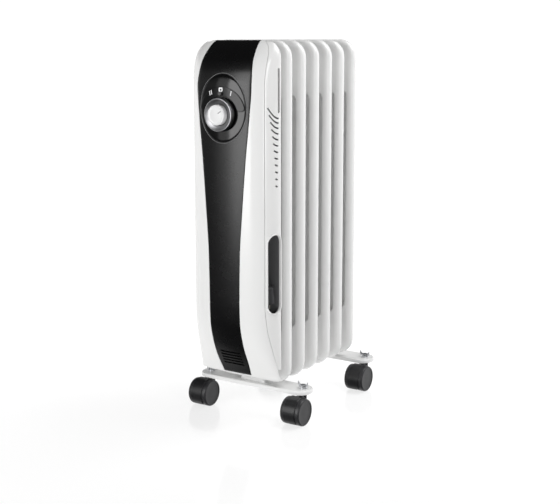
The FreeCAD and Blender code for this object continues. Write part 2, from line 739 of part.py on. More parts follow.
def wheel_body(name, sign):
    """A wheel turned about X: tread with rounded edges, dished outer face, axle bore."""
    body = new_body(name)
    outline = new_sketch(body, "XZ_Plane")
    inner, outer = f"{sign} * wheel_inner_x", f"{sign} * wheel_outer_x"
    polygon(outline, [
        (inner, "axle_radius + run_fit"),
        (inner, "wheel_radius"),
        (outer, "wheel_radius"),
        (outer, "wheel_radius * 0.9"),
        (f"{sign} * (wheel_outer_x - wheel_dish)", "wheel_radius * 0.86"),
        (f"{sign} * (wheel_outer_x - wheel_dish)", "axle_radius + run_fit"),
    ])
    turned = revolve(body, outline, "H_Axis")
    levels = (value(f"{sign} * wheel_inner_x"), value(f"{sign} * wheel_outer_x"))
    rim = value("wheel_radius * 0.95")
    edge_round = round_edges(
        body, turned, "wheel_round",
        lambda edge: lies_on("X", *levels)(edge) and edge.BoundBox.ZMax > rim,
    )
    body.Tip = edge_round
    return body


# ---- control housing ----

# how far forward and how far down the crest's two arcs pass, as shares of its depth and height
CREST_SHAPE = ((0.5, 0.18), (0.83, 0.40), (0.94, 0.64), (1.0, 1.0))
# the middle of the toe's arc, as shares of how far it goes in and up
TOE_SHAPE = (0.26, 0.49)


def side_profile(inset, shift=0.0):
    """The housing seen from the side: crest, upright front and toe, as a face in the YZ plane."""
    top, low = value("top_z"), value("housing_low")
    face, back = value("face_y") + inset + shift, value("back_y") - inset + shift
    crest, toe, toe_in = value("crest_drop"), value("toe_from_low"), value("toe_in")
    spots = [Vector(0, back, top - inset)]
    for along, down in CREST_SHAPE:
        spots.append(Vector(0, back - along * (back - face), top - inset - down * (crest - inset)))
    toe_mid = Vector(0, face + toe_in * TOE_SHAPE[0], low + toe * TOE_SHAPE[1])
    toe_end = Vector(0, face + toe_in, low + inset)
    edges = [
        Part.Arc(spots[0], spots[1], spots[2]).toShape(),
        Part.Arc(spots[2], spots[3], spots[4]).toShape(),
        Part.makeLine(spots[4], Vector(0, face, low + toe)),
        Part.Arc(Vector(0, face, low + toe), toe_mid, toe_end).toShape(),
        Part.makeLine(toe_end, Vector(0, back, low + inset)),
        Part.makeLine(Vector(0, back, low + inset), spots[0]),
    ]
    return Part.Face(Part.Wire(edges))


def plan_profile(inset):
    """The housing seen from above: bowed front with large round corners."""
    half, face, back = value("housing_half") - inset, value("face_y") + inset, value("back_y") - inset
    corner, bow = value("housing_corner") - inset, value("crown")
    turn = corner * (1 - math.sin(math.pi / 4))
    left, right = [
        [
            Vector(sign * half, back, 0),
            Vector(sign * half, face + bow + corner, 0),
            Vector(sign * (half - turn), face + bow + turn, 0),
            Vector(sign * (half - corner), face + bow, 0),
        ]
        for sign in (-1, 1)
    ]
    edges = [
        Part.makeLine(right[0], right[1]),
        Part.Arc(*right[1:]).toShape(),
        Part.Arc(right[3], Vector(0, face, 0), left[3]).toShape(),
        Part.Arc(*reversed(left[1:])).toShape(),
        Part.makeLine(left[1], left[0]),
        Part.makeLine(left[0], right[0]),
    ]
    return Part.Face(Part.Wire(edges))


def front_profile(inset):
    """The housing seen from the front: upright sides and round top corners."""
    half, top, low = value("housing_half") - inset, value("top_z") - inset, value("housing_low") - 1
    corner = value("housing_top_corner") - inset
    turn = corner * (1 - math.sin(math.pi / 4))
    left, right = [
        [
            Vector(sign * half, 0, low),
            Vector(sign * half, 0, top - corner),
            Vector(sign * (half - turn), 0, top - turn),
            Vector(sign * (half - corner), 0, top),
        ]
        for sign in (-1, 1)
    ]
    edges = [
        Part.makeLine(left[0], right[0]),
        Part.makeLine(right[0], right[1]),
        Part.Arc(*right[1:]).toShape(),
        Part.makeLine(right[3], left[3]),
        Part.Arc(*reversed(left[1:])).toShape(),
        Part.makeLine(left[1], left[0]),
    ]
    return Part.Face(Part.Wire(edges))


REACH = 1000.0
WHOLE = (-REACH, REACH)


def run_through(face, way):
    """Extrudes a flat face both ways along an axis, far past the housing."""
    start = face.copy()
    start.translate(way * -REACH)
    return start.extrude(way * (2 * REACH))


def housing_form(inset):
    """The solid that the housing's outside fills, or with an inset its hollow."""
    form = run_through(side_profile(inset), Vector(1, 0, 0))
    form = form.common(run_through(plan_profile(inset), Vector(0, 0, 1)))
    return form.common(run_through(front_profile(inset), Vector(0, 1, 0)))


def band_outline(spare):
    """The dark band seen from the front; spare widens it."""
    top, low = value("top_z") + 5, value("housing_low") - 5
    halves = [
        (value("band_end_half") + spare, low),
        (value("band_slim_half") + spare, value("band_slim_z")),
        (value("band_slim_half") + spare + 4, value("band_slim_z") + 110),
        (value("band_wide_half") + spare - 5, value("band_wide_z") - 80),
        (value("band_wide_half") + spare, value("band_wide_z")),
        (value("band_top_half") + spare, top - 8),
        (value("band_top_half") + spare - 1, top),
    ]
    sides = []
    for sign in (1, -1):
        curve = Part.BSplineCurve()
        curve.interpolate([Vector(sign * half, 0, z) for half, z in halves])
        sides.append(curve.toShape())
    ends = [
        Part.makeLine(Vector(-halves[0][0], 0, halves[0][1]), Vector(halves[0][0], 0, halves[0][1])),
        Part.makeLine(Vector(-halves[-1][0], 0, halves[-1][1]), Vector(halves[-1][0], 0, halves[-1][1])),
    ]
    wire = Part.Wire(Part.__sortEdges__([sides[0], ends[1], sides[1], ends[0]]))
    front = value("face_y") - 20
    reach = value("housing_depth") - value("housing_wall") + 19
    return Part.Face(wire).translated(Vector(0, front, 0)).extrude(Vector(0, reach, 0))


def solid_box(x, y, z):
    return Part.makeBox(x[1] - x[0], y[1] - y[0], z[1] - z[0], Vector(x[0], y[0], z[0]))


def panel_form(spare, front, back):
    """The oval of the dial panel as a solid from front to back."""
    across, high = value("panel_half") + spare, value("panel_half_high") + spare
    middle = Vector(0, front, value("panel_z"))
    oval = Part.Ellipse(
        middle + Vector(0, 0, high), middle + Vector(across, 0, 0), middle
    ).toShape()
    return Part.Face(Part.Wire(oval)).extrude(Vector(0, back - front, 0))


def grille_cuts():
    half, high, face = value("grille_half"), value("grille_slot"), value("face_y")
    slots = []
    for number in range(int(value("grille_count"))):
        z = value("grille_low") + number * value("grille_pitch")
        slots.append(solid_box((-half, half), (face - 5, value("inner_back_y") - 5), (z, z + high)))
    return Part.Compound(slots)


def stadium(y, z, radius, half_high, x0, x1):
    """An upright slot with round ends, cut along X."""
    top = Part.makeCylinder(radius, x1 - x0, Vector(x0, y, z + half_high - radius), Vector(1, 0, 0))
    low = Part.makeCylinder(radius, x1 - x0, Vector(x0, y, z - half_high + radius), Vector(1, 0, 0))
    middle = solid_box((x0, x1), (y - radius, y + radius), (z - half_high + radius, z + half_high - radius))
    return top.fuse([low, middle]).removeSplitter()


def louvre_cuts(sign):
    """Curved slots on one side that get longer towards the top."""
    half, count = value("housing_half"), int(value("louvre_count"))
    slots = []
    for number in range(count):
        share = number / (count - 1)
        back = value("back_y") - value("louvre_back") + share * value("louvre_fan")
        long = value("louvre_short") + (value("louvre_long") - value("louvre_short")) * share ** 1.3
        z = value("louvre_low") + value("louvre_rise") * share ** 1.05
        rise = 2 + 17 * share ** 1.6
        high = value("louvre_slot")
        spots = [
            Vector(0, back, z - rise),
            Vector(0, back - long * 0.5, z - rise * 0.75),
            Vector(0, back - long, z),
        ]
        upper = Part.Arc(*spots).toShape()
        lower = upper.translated(Vector(0, 0, -high))
        ends = [
            Part.makeLine(spots[0], spots[0] - Vector(0, 0, high)),
            Part.makeLine(spots[2], spots[2] - Vector(0, 0, high)),
        ]
        face = Part.Face(Part.Wire(Part.__sortEdges__([upper, ends[0], lower, ends[1]])))
        inner = half - value("housing_corner")
        cutter = face.extrude(Vector(half - inner + 10, 0, 0)).translated(Vector(inner, 0, 0))
        slots.append(cutter if sign > 0 else cutter.mirror(Vector(), Vector(1, 0, 0)))
    return Part.Compound(slots)


def screw_spots():
    inset, half = value("screw_inset"), value("plate_half")
    low, high = value("plate_low"), value("plate_high")
    return [(x, z) for x in (inset - half, half - inset) for z in (low + inset, high - inset)]


def front_shell(outside, inside, ahead_of_seam, panel_room):
    """The shell in front of the seam, rebated for the dark band and backed behind it."""
    wall, gap, sheet_depth = value("housing_wall"), value("fit_gap"), value("band_thick")
    front = outside.cut(inside).cut(ahead_of_seam)
    rebate = outside.cut(housing_form(sheet_depth + gap)).common(band_outline(gap))
    back_room = solid_box(WHOLE, (value("inner_back_y"), REACH), (0, REACH))
    core = housing_form(sheet_depth + wall).cut(back_room)
    backing = inside.cut(core).common(band_outline(0.0)).cut(ahead_of_seam)
    heights = (value("housing_low + backing_up"), value("top_z - backing_down"))
    backing = backing.common(solid_box(WHOLE, WHOLE, heights))
    front = front.fuse(backing).cut(rebate).cut(panel_room).cut(grille_cuts())
    subpart(plain(front.removeSplitter(), "FrontShell"), "front_shell")


def front_band(outside, ahead_of_seam, panel_room):
    """The dark sheet down the middle; the largest piece is kept, without slivers past the seam."""
    band = outside.cut(housing_form(value("band_thick"))).common(band_outline(0.0))
    band = band.cut(ahead_of_seam).cut(panel_room).cut(grille_cuts())
    subpart(plain(max(band.Solids, key=lambda piece: piece.Volume), "FrontBand"), "front_band")


def back_hole(radius, x, z):
    """A round cut through the housing's back wall."""
    start = Vector(x, value("inner_back_y") - value("spare"), z)
    return Part.makeCylinder(radius, value("housing_wall + 2 * spare"), start, Vector(0, 1, 0))


def rear_cover(outside, inside, behind):
    """The cover behind the seam, with its cord slot, raised rim, grooves, louvres and holes."""
    cover = outside.cut(inside).common(behind)
    cover = cover.cut(solid_box(WHOLE, WHOLE, (-REACH, value("cover_low"))))
    slot_half = value("slot_long") / 2
    slot_z = value("slot_low") + slot_half
    slot_y, radius = value("slot_y"), value("slot_width") / 2
    half, rim = value("housing_half"), value("rim_width")
    across = (half - value("housing_corner"), half + value("liner_far"))
    lip = stadium(slot_y, slot_z, radius + rim, slot_half + rim, *across)
    lip = lip.common(housing_form(-value("rim_proud"))).cut(inside)
    behind_seam = (value("face_y + seam_back"), value("back_y"))
    lip = lip.common(solid_box((0, REACH), behind_seam, (0, REACH)))
    cover = cover.fuse(lip).cut(stadium(slot_y, slot_z, radius, slot_half, *across))
    groove_half = value("side_groove_long") / 2
    groove_z = value("side_groove_low") + groove_half
    groove_y, groove_radius = value("back_y - side_groove_back"), value("side_groove_width") / 2
    deep = value("side_groove_deep")
    for sign, across in ((1, (half - deep, REACH)), (-1, (-REACH, deep - half))):
        cover = cover.cut(stadium(groove_y, groove_z, groove_radius, groove_half, *across))
        cover = cover.cut(louvre_cuts(sign))
    legs = value("element_legs + element_rod + spare")
    cover = cover.cut(back_hole(legs, 0, value("low_collector_z")))
    for x, z in screw_spots():
        cover = cover.cut(back_hole(value("screw_radius + screw_room"), x, z))
    subpart(plain(cover.removeSplitter(), "RearCover"), "rear_cover")


def housing():
    """Front shell, dark band and rear cover, each cut from the same form."""
    outside, inside = housing_form(0.0), housing_form(value("housing_wall"))
    behind = run_through(side_profile(0.0, value("seam_back")), Vector(1, 0, 0))
    rear_room = solid_box(WHOLE, (value("back_y"), REACH), WHOLE)
    low_end = value("housing_low + seam_drop")
    low_room = solid_box(WHOLE, (value("face_y + seam_back"), REACH), (-REACH, low_end))
    behind = behind.fuse([rear_room, low_room])
    ahead_of_seam = behind.translated(Vector(0, -value("seam_gap"), 0))
    gap = value("fit_gap")
    panel_room = panel_form(gap, value("panel_face_y") - REACH, value("panel_back_y + panel_room"))
    front_shell(outside, inside, ahead_of_seam, panel_room)
    front_band(outside, ahead_of_seam, panel_room)
    rear_cover(outside, inside, behind)


def cord_compartment():
    """The liner behind the cord slot: a box that follows the housing and opens at the slot."""
    wall, clear = value("liner_wall"), value("housing_wall + fit_gap")
    far, near = -value("liner_far"), value("housing_half")
    low, high = value("slot_low") - 2, value("slot_high") + 2
    front, back = value("slot_back_y - store_width"), value("inner_back_y")
    outside = solid_box((far, near), (front - wall, back), (low - wall, high + wall))
    outside = outside.common(housing_form(clear))
    inside = solid_box((far + wall, near), (front, back - wall), (low, high))
    inside = inside.common(housing_form(clear + wall))
    slot_half = (value("slot_high") - value("slot_low")) / 2
    mouth = stadium(
        value("slot_y"), value("slot_low") + slot_half, value("slot_width") / 2, slot_half,
        value("housing_half - housing_corner"), near + 10,
    )
    gland_start = Vector(far - wall, value(COIL_BACK_Y), value("lead_z"))
    gland = Part.makeCylinder(value("gland_neck + screw_room"), 4 * wall, gland_start, Vector(1, 0, 0))
    liner = outside.cut(inside).cut(mouth).cut(gland)
    subpart(plain(liner.removeSplitter(), "Liner"), "cord_compartment")


# ---- dial, controls and wiring ----

def dial_panel():
    oval = plain(panel_form(0.0, value("panel_face_y"), value("panel_back_y")), "PanelOval")
    long, front = "panel_thick + 2 * spare", "panel_face_y - spare"
    shaft = rod("sleeve_radius + moving_gap", long, 0, front, "dial_z", ALONG_Y)
    lens = rod("lens_radius + fit_gap", long, 0, front, "dial_z + lens_up", ALONG_Y)
    subpart(cut(oval, shaft, lens), "dial_panel")


def scale_ring():
    """The raised half ring over the selector, with round cut for the pilot lamp."""
    body = new_body("ScaleRing")
    outline = new_sketch(body, "XZ_Plane", "-(panel_face_y - scale_thick)")
    circle(outline, 0, "dial_z", "scale_outer")
    circle(outline, 0, "dial_z", "scale_inner")
    pad(body, outline, "scale_thick", backwards=True)
    front, back = "panel_face_y - scale_thick - spare", "panel_face_y + spare"
    across, up = ("-2 * scale_outer", "2 * scale_outer"), ("dial_z - 2 * scale_outer", "dial_z + scale_up")
    below = box(across, (front, back), up)
    lens = rod("lens_radius + fit_gap", f"({back}) - ({front})", 0, front, "dial_z + lens_up", ALONG_Y)
    subpart(cut(body, below, lens), "scale_ring")


def controls():
    """Pilot lamp, power selector on its sleeve and thermostat knob on its spindle."""
    front = "panel_face_y - scale_thick - lens_proud"
    lens = rod("lens_radius", f"panel_back_y - ({front})", 0, front, "dial_z + lens_up", ALONG_Y)
    subpart(lens, "pilot_lens")
    lamp = rod("lens_radius - 0.6", 12, 0, "panel_back_y", "dial_z + lens_up", ALONG_Y)
    subpart(lamp, "pilot_lamp")

    rear = "panel_face_y - moving_gap"
    ring = rod("selector_radius", "selector_thick", 0, f"{rear} - selector_thick", "dial_z", ALONG_Y)
    web_front = f"{rear} - selector_web"
    well_deep = "selector_thick - selector_web"
    well = rod("knob_radius + knob_gap", well_deep, 0, f"{rear} - selector_thick", "dial_z", ALONG_Y)
    before_web = f"{web_front} - spare"
    bore = rod("sleeve_radius + press_gap", "selector_web * 2", 0, before_web, "dial_z", ALONG_Y)
    subpart(cut(ring, well, bore), "selector_ring")
    sleeve_long = "panel_thick + selector_web + moving_gap + switch_thick / 2"
    sleeve = rod("sleeve_radius", sleeve_long, 0, web_front, "dial_z", ALONG_Y)
    passage_long = f"{sleeve_long} + 2 * spare"
    passage = rod("spindle_radius + run_fit", passage_long, 0, before_web, "dial_z", ALONG_Y)
    subpart(cut(sleeve, passage), "selector_sleeve")

    body = new_body("ThermostatKnob")
    outline = new_sketch(body, "XZ_Plane", "-(knob_face_y)")
    circle(outline, 0, "dial_z", "knob_radius")
    knob_long = f"({rear} - selector_web - moving_gap) - (knob_face_y)"
    blank = pad(body, outline, knob_long, backwards=True)
    body.Tip = round_edges(body, blank, "knob_edge", lies_on("Y", value("knob_face_y")))
    groove = new_sketch(body, "XZ_Plane", "-(knob_face_y)")
    pointer_ends = ("dial_z + knob_radius * 0.3", "dial_z + knob_radius * 0.85")
    round_rect(groove, "-pointer_half", "pointer_half", *pointer_ends, "pointer_half * 0.95")
    pocket(body, groove, "pointer_deep")
    turned = put(plain_turn(body), 0, 0, 0)
    seat_y = "knob_face_y + spindle_seat"
    socket = rod("spindle_radius + press_gap", "knob_proud", 0, seat_y, "dial_z", ALONG_Y)
    subpart(cut(turned, socket), "thermostat_knob")
    spindle = rod("spindle_radius", f"thermostat_y + 6 - ({seat_y})", 0, seat_y, "dial_z", ALONG_Y)
    subpart(spindle, "thermostat_spindle")

    disc = rod("switch_radius", "switch_thick", 0, "panel_back_y", "dial_z", ALONG_Y)
    hole_long = "switch_thick + 2 * spare"
    hole = rod("sleeve_radius + run_fit", hole_long, 0, "panel_back_y - spare", "dial_z", ALONG_Y)
    subpart(cut(disc, hole), "selector_switch")
    half = "thermostat_side / 2"
    block = box(
        (f"-{half}", half),
        ("thermostat_y", "thermostat_y + thermostat_thick"),
        (f"dial_z - {half}", f"dial_z + {half}"),
    )
    seat = rod("spindle_radius + run_fit", 8, 0, "thermostat_y - 1", "dial_z", ALONG_Y)
    subpart(cut(block, seat), "thermostat")


POINTER_TURN = 58


def plain_turn(body):
    """The knob's blank, turned about the dial axis so that its pointer stands at the set warmth."""
    doc.recompute()
    shape = body.Shape.copy()
    shape.rotate(Vector(0, 0, value("dial_z")), Vector(0, 1, 0), POINTER_TURN)
    return plain(shape, "TurnedKnob")


def back_plate():
    plate = box(("-plate_half", "plate_half"), ("plate_y", "inner_back_y"), ("plate_low", "plate_high"))
    holes = [
        rod("screw_radius + screw_room", "plate_thick + 2 * spare", x, "plate_y - spare", z, ALONG_Y)
        for x, z in screw_spots()
    ]
    subpart(cut(plate, *holes), "back_plate")
    screws = []
    for x, z in screw_spots():
        head = rod("screw_head", "screw_head_thick", x, "plate_y - screw_head_thick", z, ALONG_Y)
        shank = rod("screw_radius", "plate_thick + housing_wall - 0.4", x, "plate_y", z, ALONG_Y)
        screws.append(fuse(head, shank))
    subpart(group(*screws), "housing_screws")
    block = box(
        ("-block_width / 2", "block_width / 2"),
        ("plate_y - block_thick", "plate_y"),
        ("block_z", "block_z + block_high"),
    )
    subpart(block, "terminal_block")
    cutout = rod("cutout_radius", "cutout_thick", 0, "plate_y - cutout_thick", "cutout_z", ALONG_Y)
    subpart(cutout, "thermal_cutout")


# ---- mains lead and wires ----

def bent_tube(points, radius, note=None):
    """A round tube along straight runs joined by tangent arcs, each as large as its runs allow.

    With a note it prints each arc's radius and how the volume compares with section times length.
    """
    spots = [Vector(*point) for point in points]
    edges, last = [], spots[0]
    for before, corner, after in zip(spots, spots[1:], spots[2:]):
        back, ahead = before - corner, after - corner
        turn = math.pi - back.getAngle(ahead)
        reach = 0.45 * min(back.Length, ahead.Length)
        arc_radius = reach / math.tan(turn / 2)
        if note:
            print(f"{note}: arc radius {arc_radius:.1f}")
        start = corner + back * (reach / back.Length)
        end = corner + ahead * (reach / ahead.Length)
        bulge = ((start - corner) + (end - corner)).normalize()
        middle = corner + bulge * (arc_radius / math.cos(turn / 2) - arc_radius)
        edges.append(Part.LineSegment(last, start).toShape())
        edges.append(Part.Arc(start, middle, end).toShape())
        last = end
    edges.append(Part.LineSegment(last, spots[-1]).toShape())
    path = Part.Wire(edges)
    ring = Part.Wire(Part.makeCircle(radius, spots[0], spots[1] - spots[0]))
    tube = path.makePipeShell([ring], True, False)
    expected = math.pi * radius ** 2 * path.Length
    if abs(tube.Volume / expected - 1) > 0.01:
        raise ValueError(f"{note}: the tube's volume isn't its section times its length")
    if note:
        print(f"{note}: path {path.Length:.1f}, volume {tube.Volume / expected:.4f} of that expected")
    return tube


COIL_Y = "store_y + 1"
COIL_BACK_Y = f"({COIL_Y}) + cord_radius"
COIL_FRONT_Y = f"({COIL_Y}) - cord_radius"


def mains_lead():
    """Gland, the run to the coil, the coil, the run to the plug, the plug, its pins and the tie."""
    radius = value("cord_radius")
    top = value("lead_z")
    back_y, front_y, plug_y = value(COIL_BACK_Y), value(COIL_FRONT_Y), value("store_y")
    coil_x, plug_x = value("coil_x"), value("plug_x")
    neck_top = value("plug_low + plug_high + plug_neck")

    outside = doc.addObject("Part::Cone", "Taper")
    bind(outside, Radius1="gland_radius", Radius2="cord_radius + gland_lip", Height="gland_long")
    put(outside, "liner_wall - liner_far", COIL_BACK_Y, "lead_z", ALONG_X)
    neck_start = "-liner_far - 2 * spare"
    neck_long = f"liner_wall - liner_far - ({neck_start})"
    neck = rod("gland_neck", neck_long, neck_start, COIL_BACK_Y, "lead_z", ALONG_X)
    seat_start = "liner_wall - liner_far + gland_long - gland_seat"
    socket = rod("cord_radius", "gland_seat", seat_start, COIL_BACK_Y, "lead_z", ALONG_X)
    subpart(cut(fuse(outside, neck), socket), "cord_gland")

    lead_start = value("liner_wall - liner_far + gland_long - gland_seat")
    lead = bent_tube([(lead_start, back_y, top), (coil_x, back_y, top)], radius, "power_cord_lead")
    subpart(plain(lead, "Lead"), "power_cord_lead")
    ring = rod("coil_outer", "coil_thick", "coil_x", f"({COIL_Y}) - coil_thick / 2", "coil_z", ALONG_Y)
    eye = rod("coil_inner", "coil_thick", "coil_x", f"({COIL_Y}) - coil_thick / 2", "coil_z", ALONG_Y)
    subpart(cut(ring, eye), "power_cord_coil")

    tail_points = [
        (coil_x + 16.5, front_y, top),
        (plug_x - 30, front_y, top),
        (plug_x - 11, front_y + 1, top - 11),
        (plug_x, plug_y, neck_top + 22),
        (plug_x, plug_y, neck_top),
    ]
    tail = bent_tube(tail_points, radius, "power_cord_tail")
    subpart(plain(tail, "Tail"), "power_cord_tail")

    body = rod("plug_radius", "plug_high", "plug_x", "store_y", "plug_low")
    relief = doc.addObject("Part::Cone", "Taper")
    bind(relief, Radius1="plug_radius * 0.62", Radius2="cord_radius + 1", Height="plug_neck")
    put(relief, "plug_x", "store_y", "plug_low + plug_high")
    subpart(fuse(body, relief), "plug_body")
    pins = [
        rod("pin_radius", "pin_long", "plug_x", y, "plug_low - pin_long")
        for y in ("store_y - pin_half", "store_y + pin_half")
    ]
    subpart(group(*pins), "plug_pins")

    def strap(inner, high):
        """A block round the coil's left side, that far outside its turns."""
        reach = f"(coil_outer - coil_inner) / 2 + {inner}"
        return box(
            (f"coil_x - coil_mean - ({reach})", f"coil_x - coil_mean + ({reach})"),
            (f"({COIL_Y}) - coil_thick / 2 - ({inner})", f"({COIL_Y}) + coil_thick / 2 + ({inner})"),
            (f"coil_z - ({high}) / 2", f"coil_z + ({high}) / 2"),
        )
    tie = cut(strap("(tie_room + tie_thick)", "tie_high"), strap("tie_room", "tie_high + 2 * spare"))
    subpart(tie, "cord_tie")


def wiring():
    """Leads from the terminal block to the element, the cut-out and the thermostat."""
    radius = value("wire_radius")
    block_y = value("plate_y - block_thick / 2")
    block_low, block_top = value("block_z"), value("block_z + block_high")
    front_y = value("slot_back_y - store_width - liner_wall") - 3.5
    element_y = value("inner_back_y - element_terminal") - 4
    low_z = value("low_collector_z")
    leads = []
    for x, terminal in ((-14, "-element_legs"), (14, "element_legs")):
        end_x = value(terminal)
        leads.append(bent_tube([
            (x, block_y, block_low),
            (x, block_y, block_low - 36),
            (x, front_y, value("slot_high") + 14),
            (x, front_y, value("slot_high") - 60),
            (end_x, front_y + 0.6, value("slot_low") - 30),
            (end_x, element_y, low_z + 26),
            (end_x, element_y, low_z),
        ], radius))
    thermostat_low = value("dial_z - thermostat_side / 2")
    thermostat_mid = value("thermostat_y + thermostat_thick / 2")
    for x in (-7, 7):
        leads.append(bent_tube([
            (x, thermostat_mid, thermostat_low),
            (x, thermostat_mid, thermostat_low - 22),
            (x, block_y, block_top + 12),
            (x, block_y, block_top),
        ], radius))
    subpart(plain(Part.Compound(leads), "Wires"), "wiring")


# ---- the whole heater ----

fin_outside = fin_form("FinOutside", "0", "fin_thick", "0")
fin_hollow = fin_form("FinHollow", "fin_sheet", "fin_thick - 2 * fin_sheet", "fin_sheet")
fins()
collector("upper_collector", "up_collector_z", stub=False)
collector("lower_collector", "low_collector_z", stub=True)
heating_element()
filler_plug()
upper_standoff()
bracket("front_bracket", "front_stem_y", ("first_fin_y", "first_fin_y + fin_thick"))
bracket("rear_bracket", "rear_stem_y", ("last_fin_back_y - fin_thick / 2", "last_fin_back_y"))
u_bolts()
wing_nuts()
for place, (stem_x, stem_y) in CASTERS.items():
    caster(place, stem_x, stem_y)
housing()
cord_compartment()
dial_panel()
scale_ring()
controls()
back_plate()
mains_lead()
wiring()
doc.recompute()

faults = [f"{item.Label}: {item.State}" for item in doc.Objects if {"Invalid", "Error"} & set(item.State)]
for item in SUBPARTS:
    if item.Shape.isNull() or not item.Shape.isValid() or not item.Shape.Solids:
        faults.append(f"{item.Label}: its shape is empty or not valid")
if faults:
    raise ValueError("\n".join(faults))
os.makedirs("parts", exist_ok=True)
for item in SUBPARTS:
    item.Shape.exportStep(f"parts/{item.Label}.step")
print(f"{len(SUBPARTS)} sub-parts written")
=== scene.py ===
"""Looks of an oil filled radiator heater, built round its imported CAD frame.

Places and sizes in this file are millimetres in the frame's own axes (X across the fins, -Y towards
the control housing's front, Z up from the floor); metres() turns them into Blender's metres. The
camera, the floor and the lights are placed in metres.
"""

import json
import math

import bmesh
import bpy
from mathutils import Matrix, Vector


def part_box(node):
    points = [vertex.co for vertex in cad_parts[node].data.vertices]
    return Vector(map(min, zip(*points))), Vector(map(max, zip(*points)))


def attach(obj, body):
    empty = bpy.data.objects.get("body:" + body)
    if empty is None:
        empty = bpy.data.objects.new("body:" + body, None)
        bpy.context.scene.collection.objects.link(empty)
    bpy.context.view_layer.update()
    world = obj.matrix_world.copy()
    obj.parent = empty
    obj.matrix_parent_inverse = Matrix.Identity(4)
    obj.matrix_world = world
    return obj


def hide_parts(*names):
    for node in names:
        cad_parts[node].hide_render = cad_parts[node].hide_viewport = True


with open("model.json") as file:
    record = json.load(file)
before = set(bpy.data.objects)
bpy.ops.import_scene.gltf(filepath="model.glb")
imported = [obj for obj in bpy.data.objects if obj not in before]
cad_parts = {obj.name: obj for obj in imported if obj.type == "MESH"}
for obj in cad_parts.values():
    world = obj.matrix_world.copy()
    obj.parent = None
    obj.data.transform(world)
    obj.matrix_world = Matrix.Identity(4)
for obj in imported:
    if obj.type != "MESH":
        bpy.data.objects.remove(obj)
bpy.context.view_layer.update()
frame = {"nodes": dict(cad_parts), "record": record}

MM = 0.001


def metres(point):
    return Vector(point) * MM


def low(node):
    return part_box(node)[0] / MM


def high(node):
    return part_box(node)[1] / MM


def middle(node):
    return (low(node) + high(node)) / 2


# ------------ camera

# metres, degrees and millimetres of lens, and the shift as a share of the picture's width
CAMERA_PLACE = (0.99172, -1.53425, 0.62239)
CAMERA_TILT_DOWN = 9.82
CAMERA_TURN = 32.67
LENS = 70.21
SENSOR = 36.0
SHIFT_DOWN = 25 / 560

camera = bpy.data.objects.new("camera", bpy.data.cameras.new("camera"))
bpy.context.scene.collection.objects.link(camera)
camera.location = CAMERA_PLACE
camera.rotation_euler = (math.radians(90 - CAMERA_TILT_DOWN), 0, math.radians(CAMERA_TURN))
camera.data.lens = LENS
camera.data.sensor_width = SENSOR
camera.data.shift_y = -SHIFT_DOWN
bpy.context.scene.camera = camera


# ------------ materials

def shader_tree(name, colour, rough, metal=0.0, specular=0.5):
    """A new Principled material and its node tree."""
    made = bpy.data.materials.new(name)
    made.use_nodes = True
    shader = made.node_tree.nodes["Principled BSDF"]
    shader.inputs["Base Color"].default_value = (*colour, 1)
    shader.inputs["Roughness"].default_value = rough
    shader.inputs["Metallic"].default_value = metal
    shader.inputs["Specular IOR Level"].default_value = specular
    return made, made.node_tree, shader


def noise(tree, scale, detail=2.0):
    """Noise in the object's own place, so it stays on the piece."""
    where = tree.nodes.new("ShaderNodeTexCoord")
    texture = tree.nodes.new("ShaderNodeTexNoise")
    texture.inputs["Scale"].default_value = scale
    texture.inputs["Detail"].default_value = detail
    tree.links.new(where.outputs["Object"], texture.inputs["Vector"])
    return texture.outputs["Fac"]


def vary_colour(tree, shader, colour, drift, scale):
    """Drifts the colour gently between a darker and a lighter shade."""
    mix = tree.nodes.new("ShaderNodeMix")
    mix.data_type = "RGBA"
    mix.inputs["A"].default_value = (*[c * (1 - drift) for c in colour], 1)
    mix.inputs["B"].default_value = (*[min(1, c * (1 + drift)) for c in colour], 1)
    tree.links.new(noise(tree, scale), mix.inputs["Factor"])
    tree.links.new(mix.outputs["Result"], shader.inputs["Base Color"])


def vary_roughness(tree, shader, rough, drift, scale):
    """Lets the gloss rise and fall a little over the surface."""
    span = tree.nodes.new("ShaderNodeMapRange")
    span.inputs["To Min"].default_value = rough - drift
    span.inputs["To Max"].default_value = rough + drift
    tree.links.new(noise(tree, scale, 3.0), span.inputs["Value"])
    tree.links.new(span.outputs["Result"], shader.inputs["Roughness"])


def add_grain(tree, shader, scale, depth):
    """A fine surface texture, depth in millimetres."""
    bump = tree.nodes.new("ShaderNodeBump")
    bump.inputs["Strength"].default_value = 1.0
    bump.inputs["Distance"].default_value = depth * MM
    tree.links.new(noise(tree, scale, 4.0), bump.inputs["Height"])
    tree.links.new(bump.outputs["Normal"], shader.inputs["Normal"])


SHADE_SCALE = 30
COAT_ROUGH = 0.08


def finish_of(name, colour, rough, metal=0.0, specular=0.5, shade=0.02, rough_spread=0.03,
              rough_scale=60, grain_scale=400, grain=0.01, coat=0.0):
    """A finish whose shade, gloss and fine grain all vary; grain is the grain's depth in millimetres."""
    made, tree, shader = shader_tree(name, colour, rough, metal, specular)
    vary_colour(tree, shader, colour, shade, SHADE_SCALE)
    vary_roughness(tree, shader, rough, rough_spread, rough_scale)
    add_grain(tree, shader, grain_scale, grain)
    if coat:
        shader.inputs["Coat Weight"].default_value = coat
        shader.inputs["Coat Roughness"].default_value = COAT_ROUGH
    return made


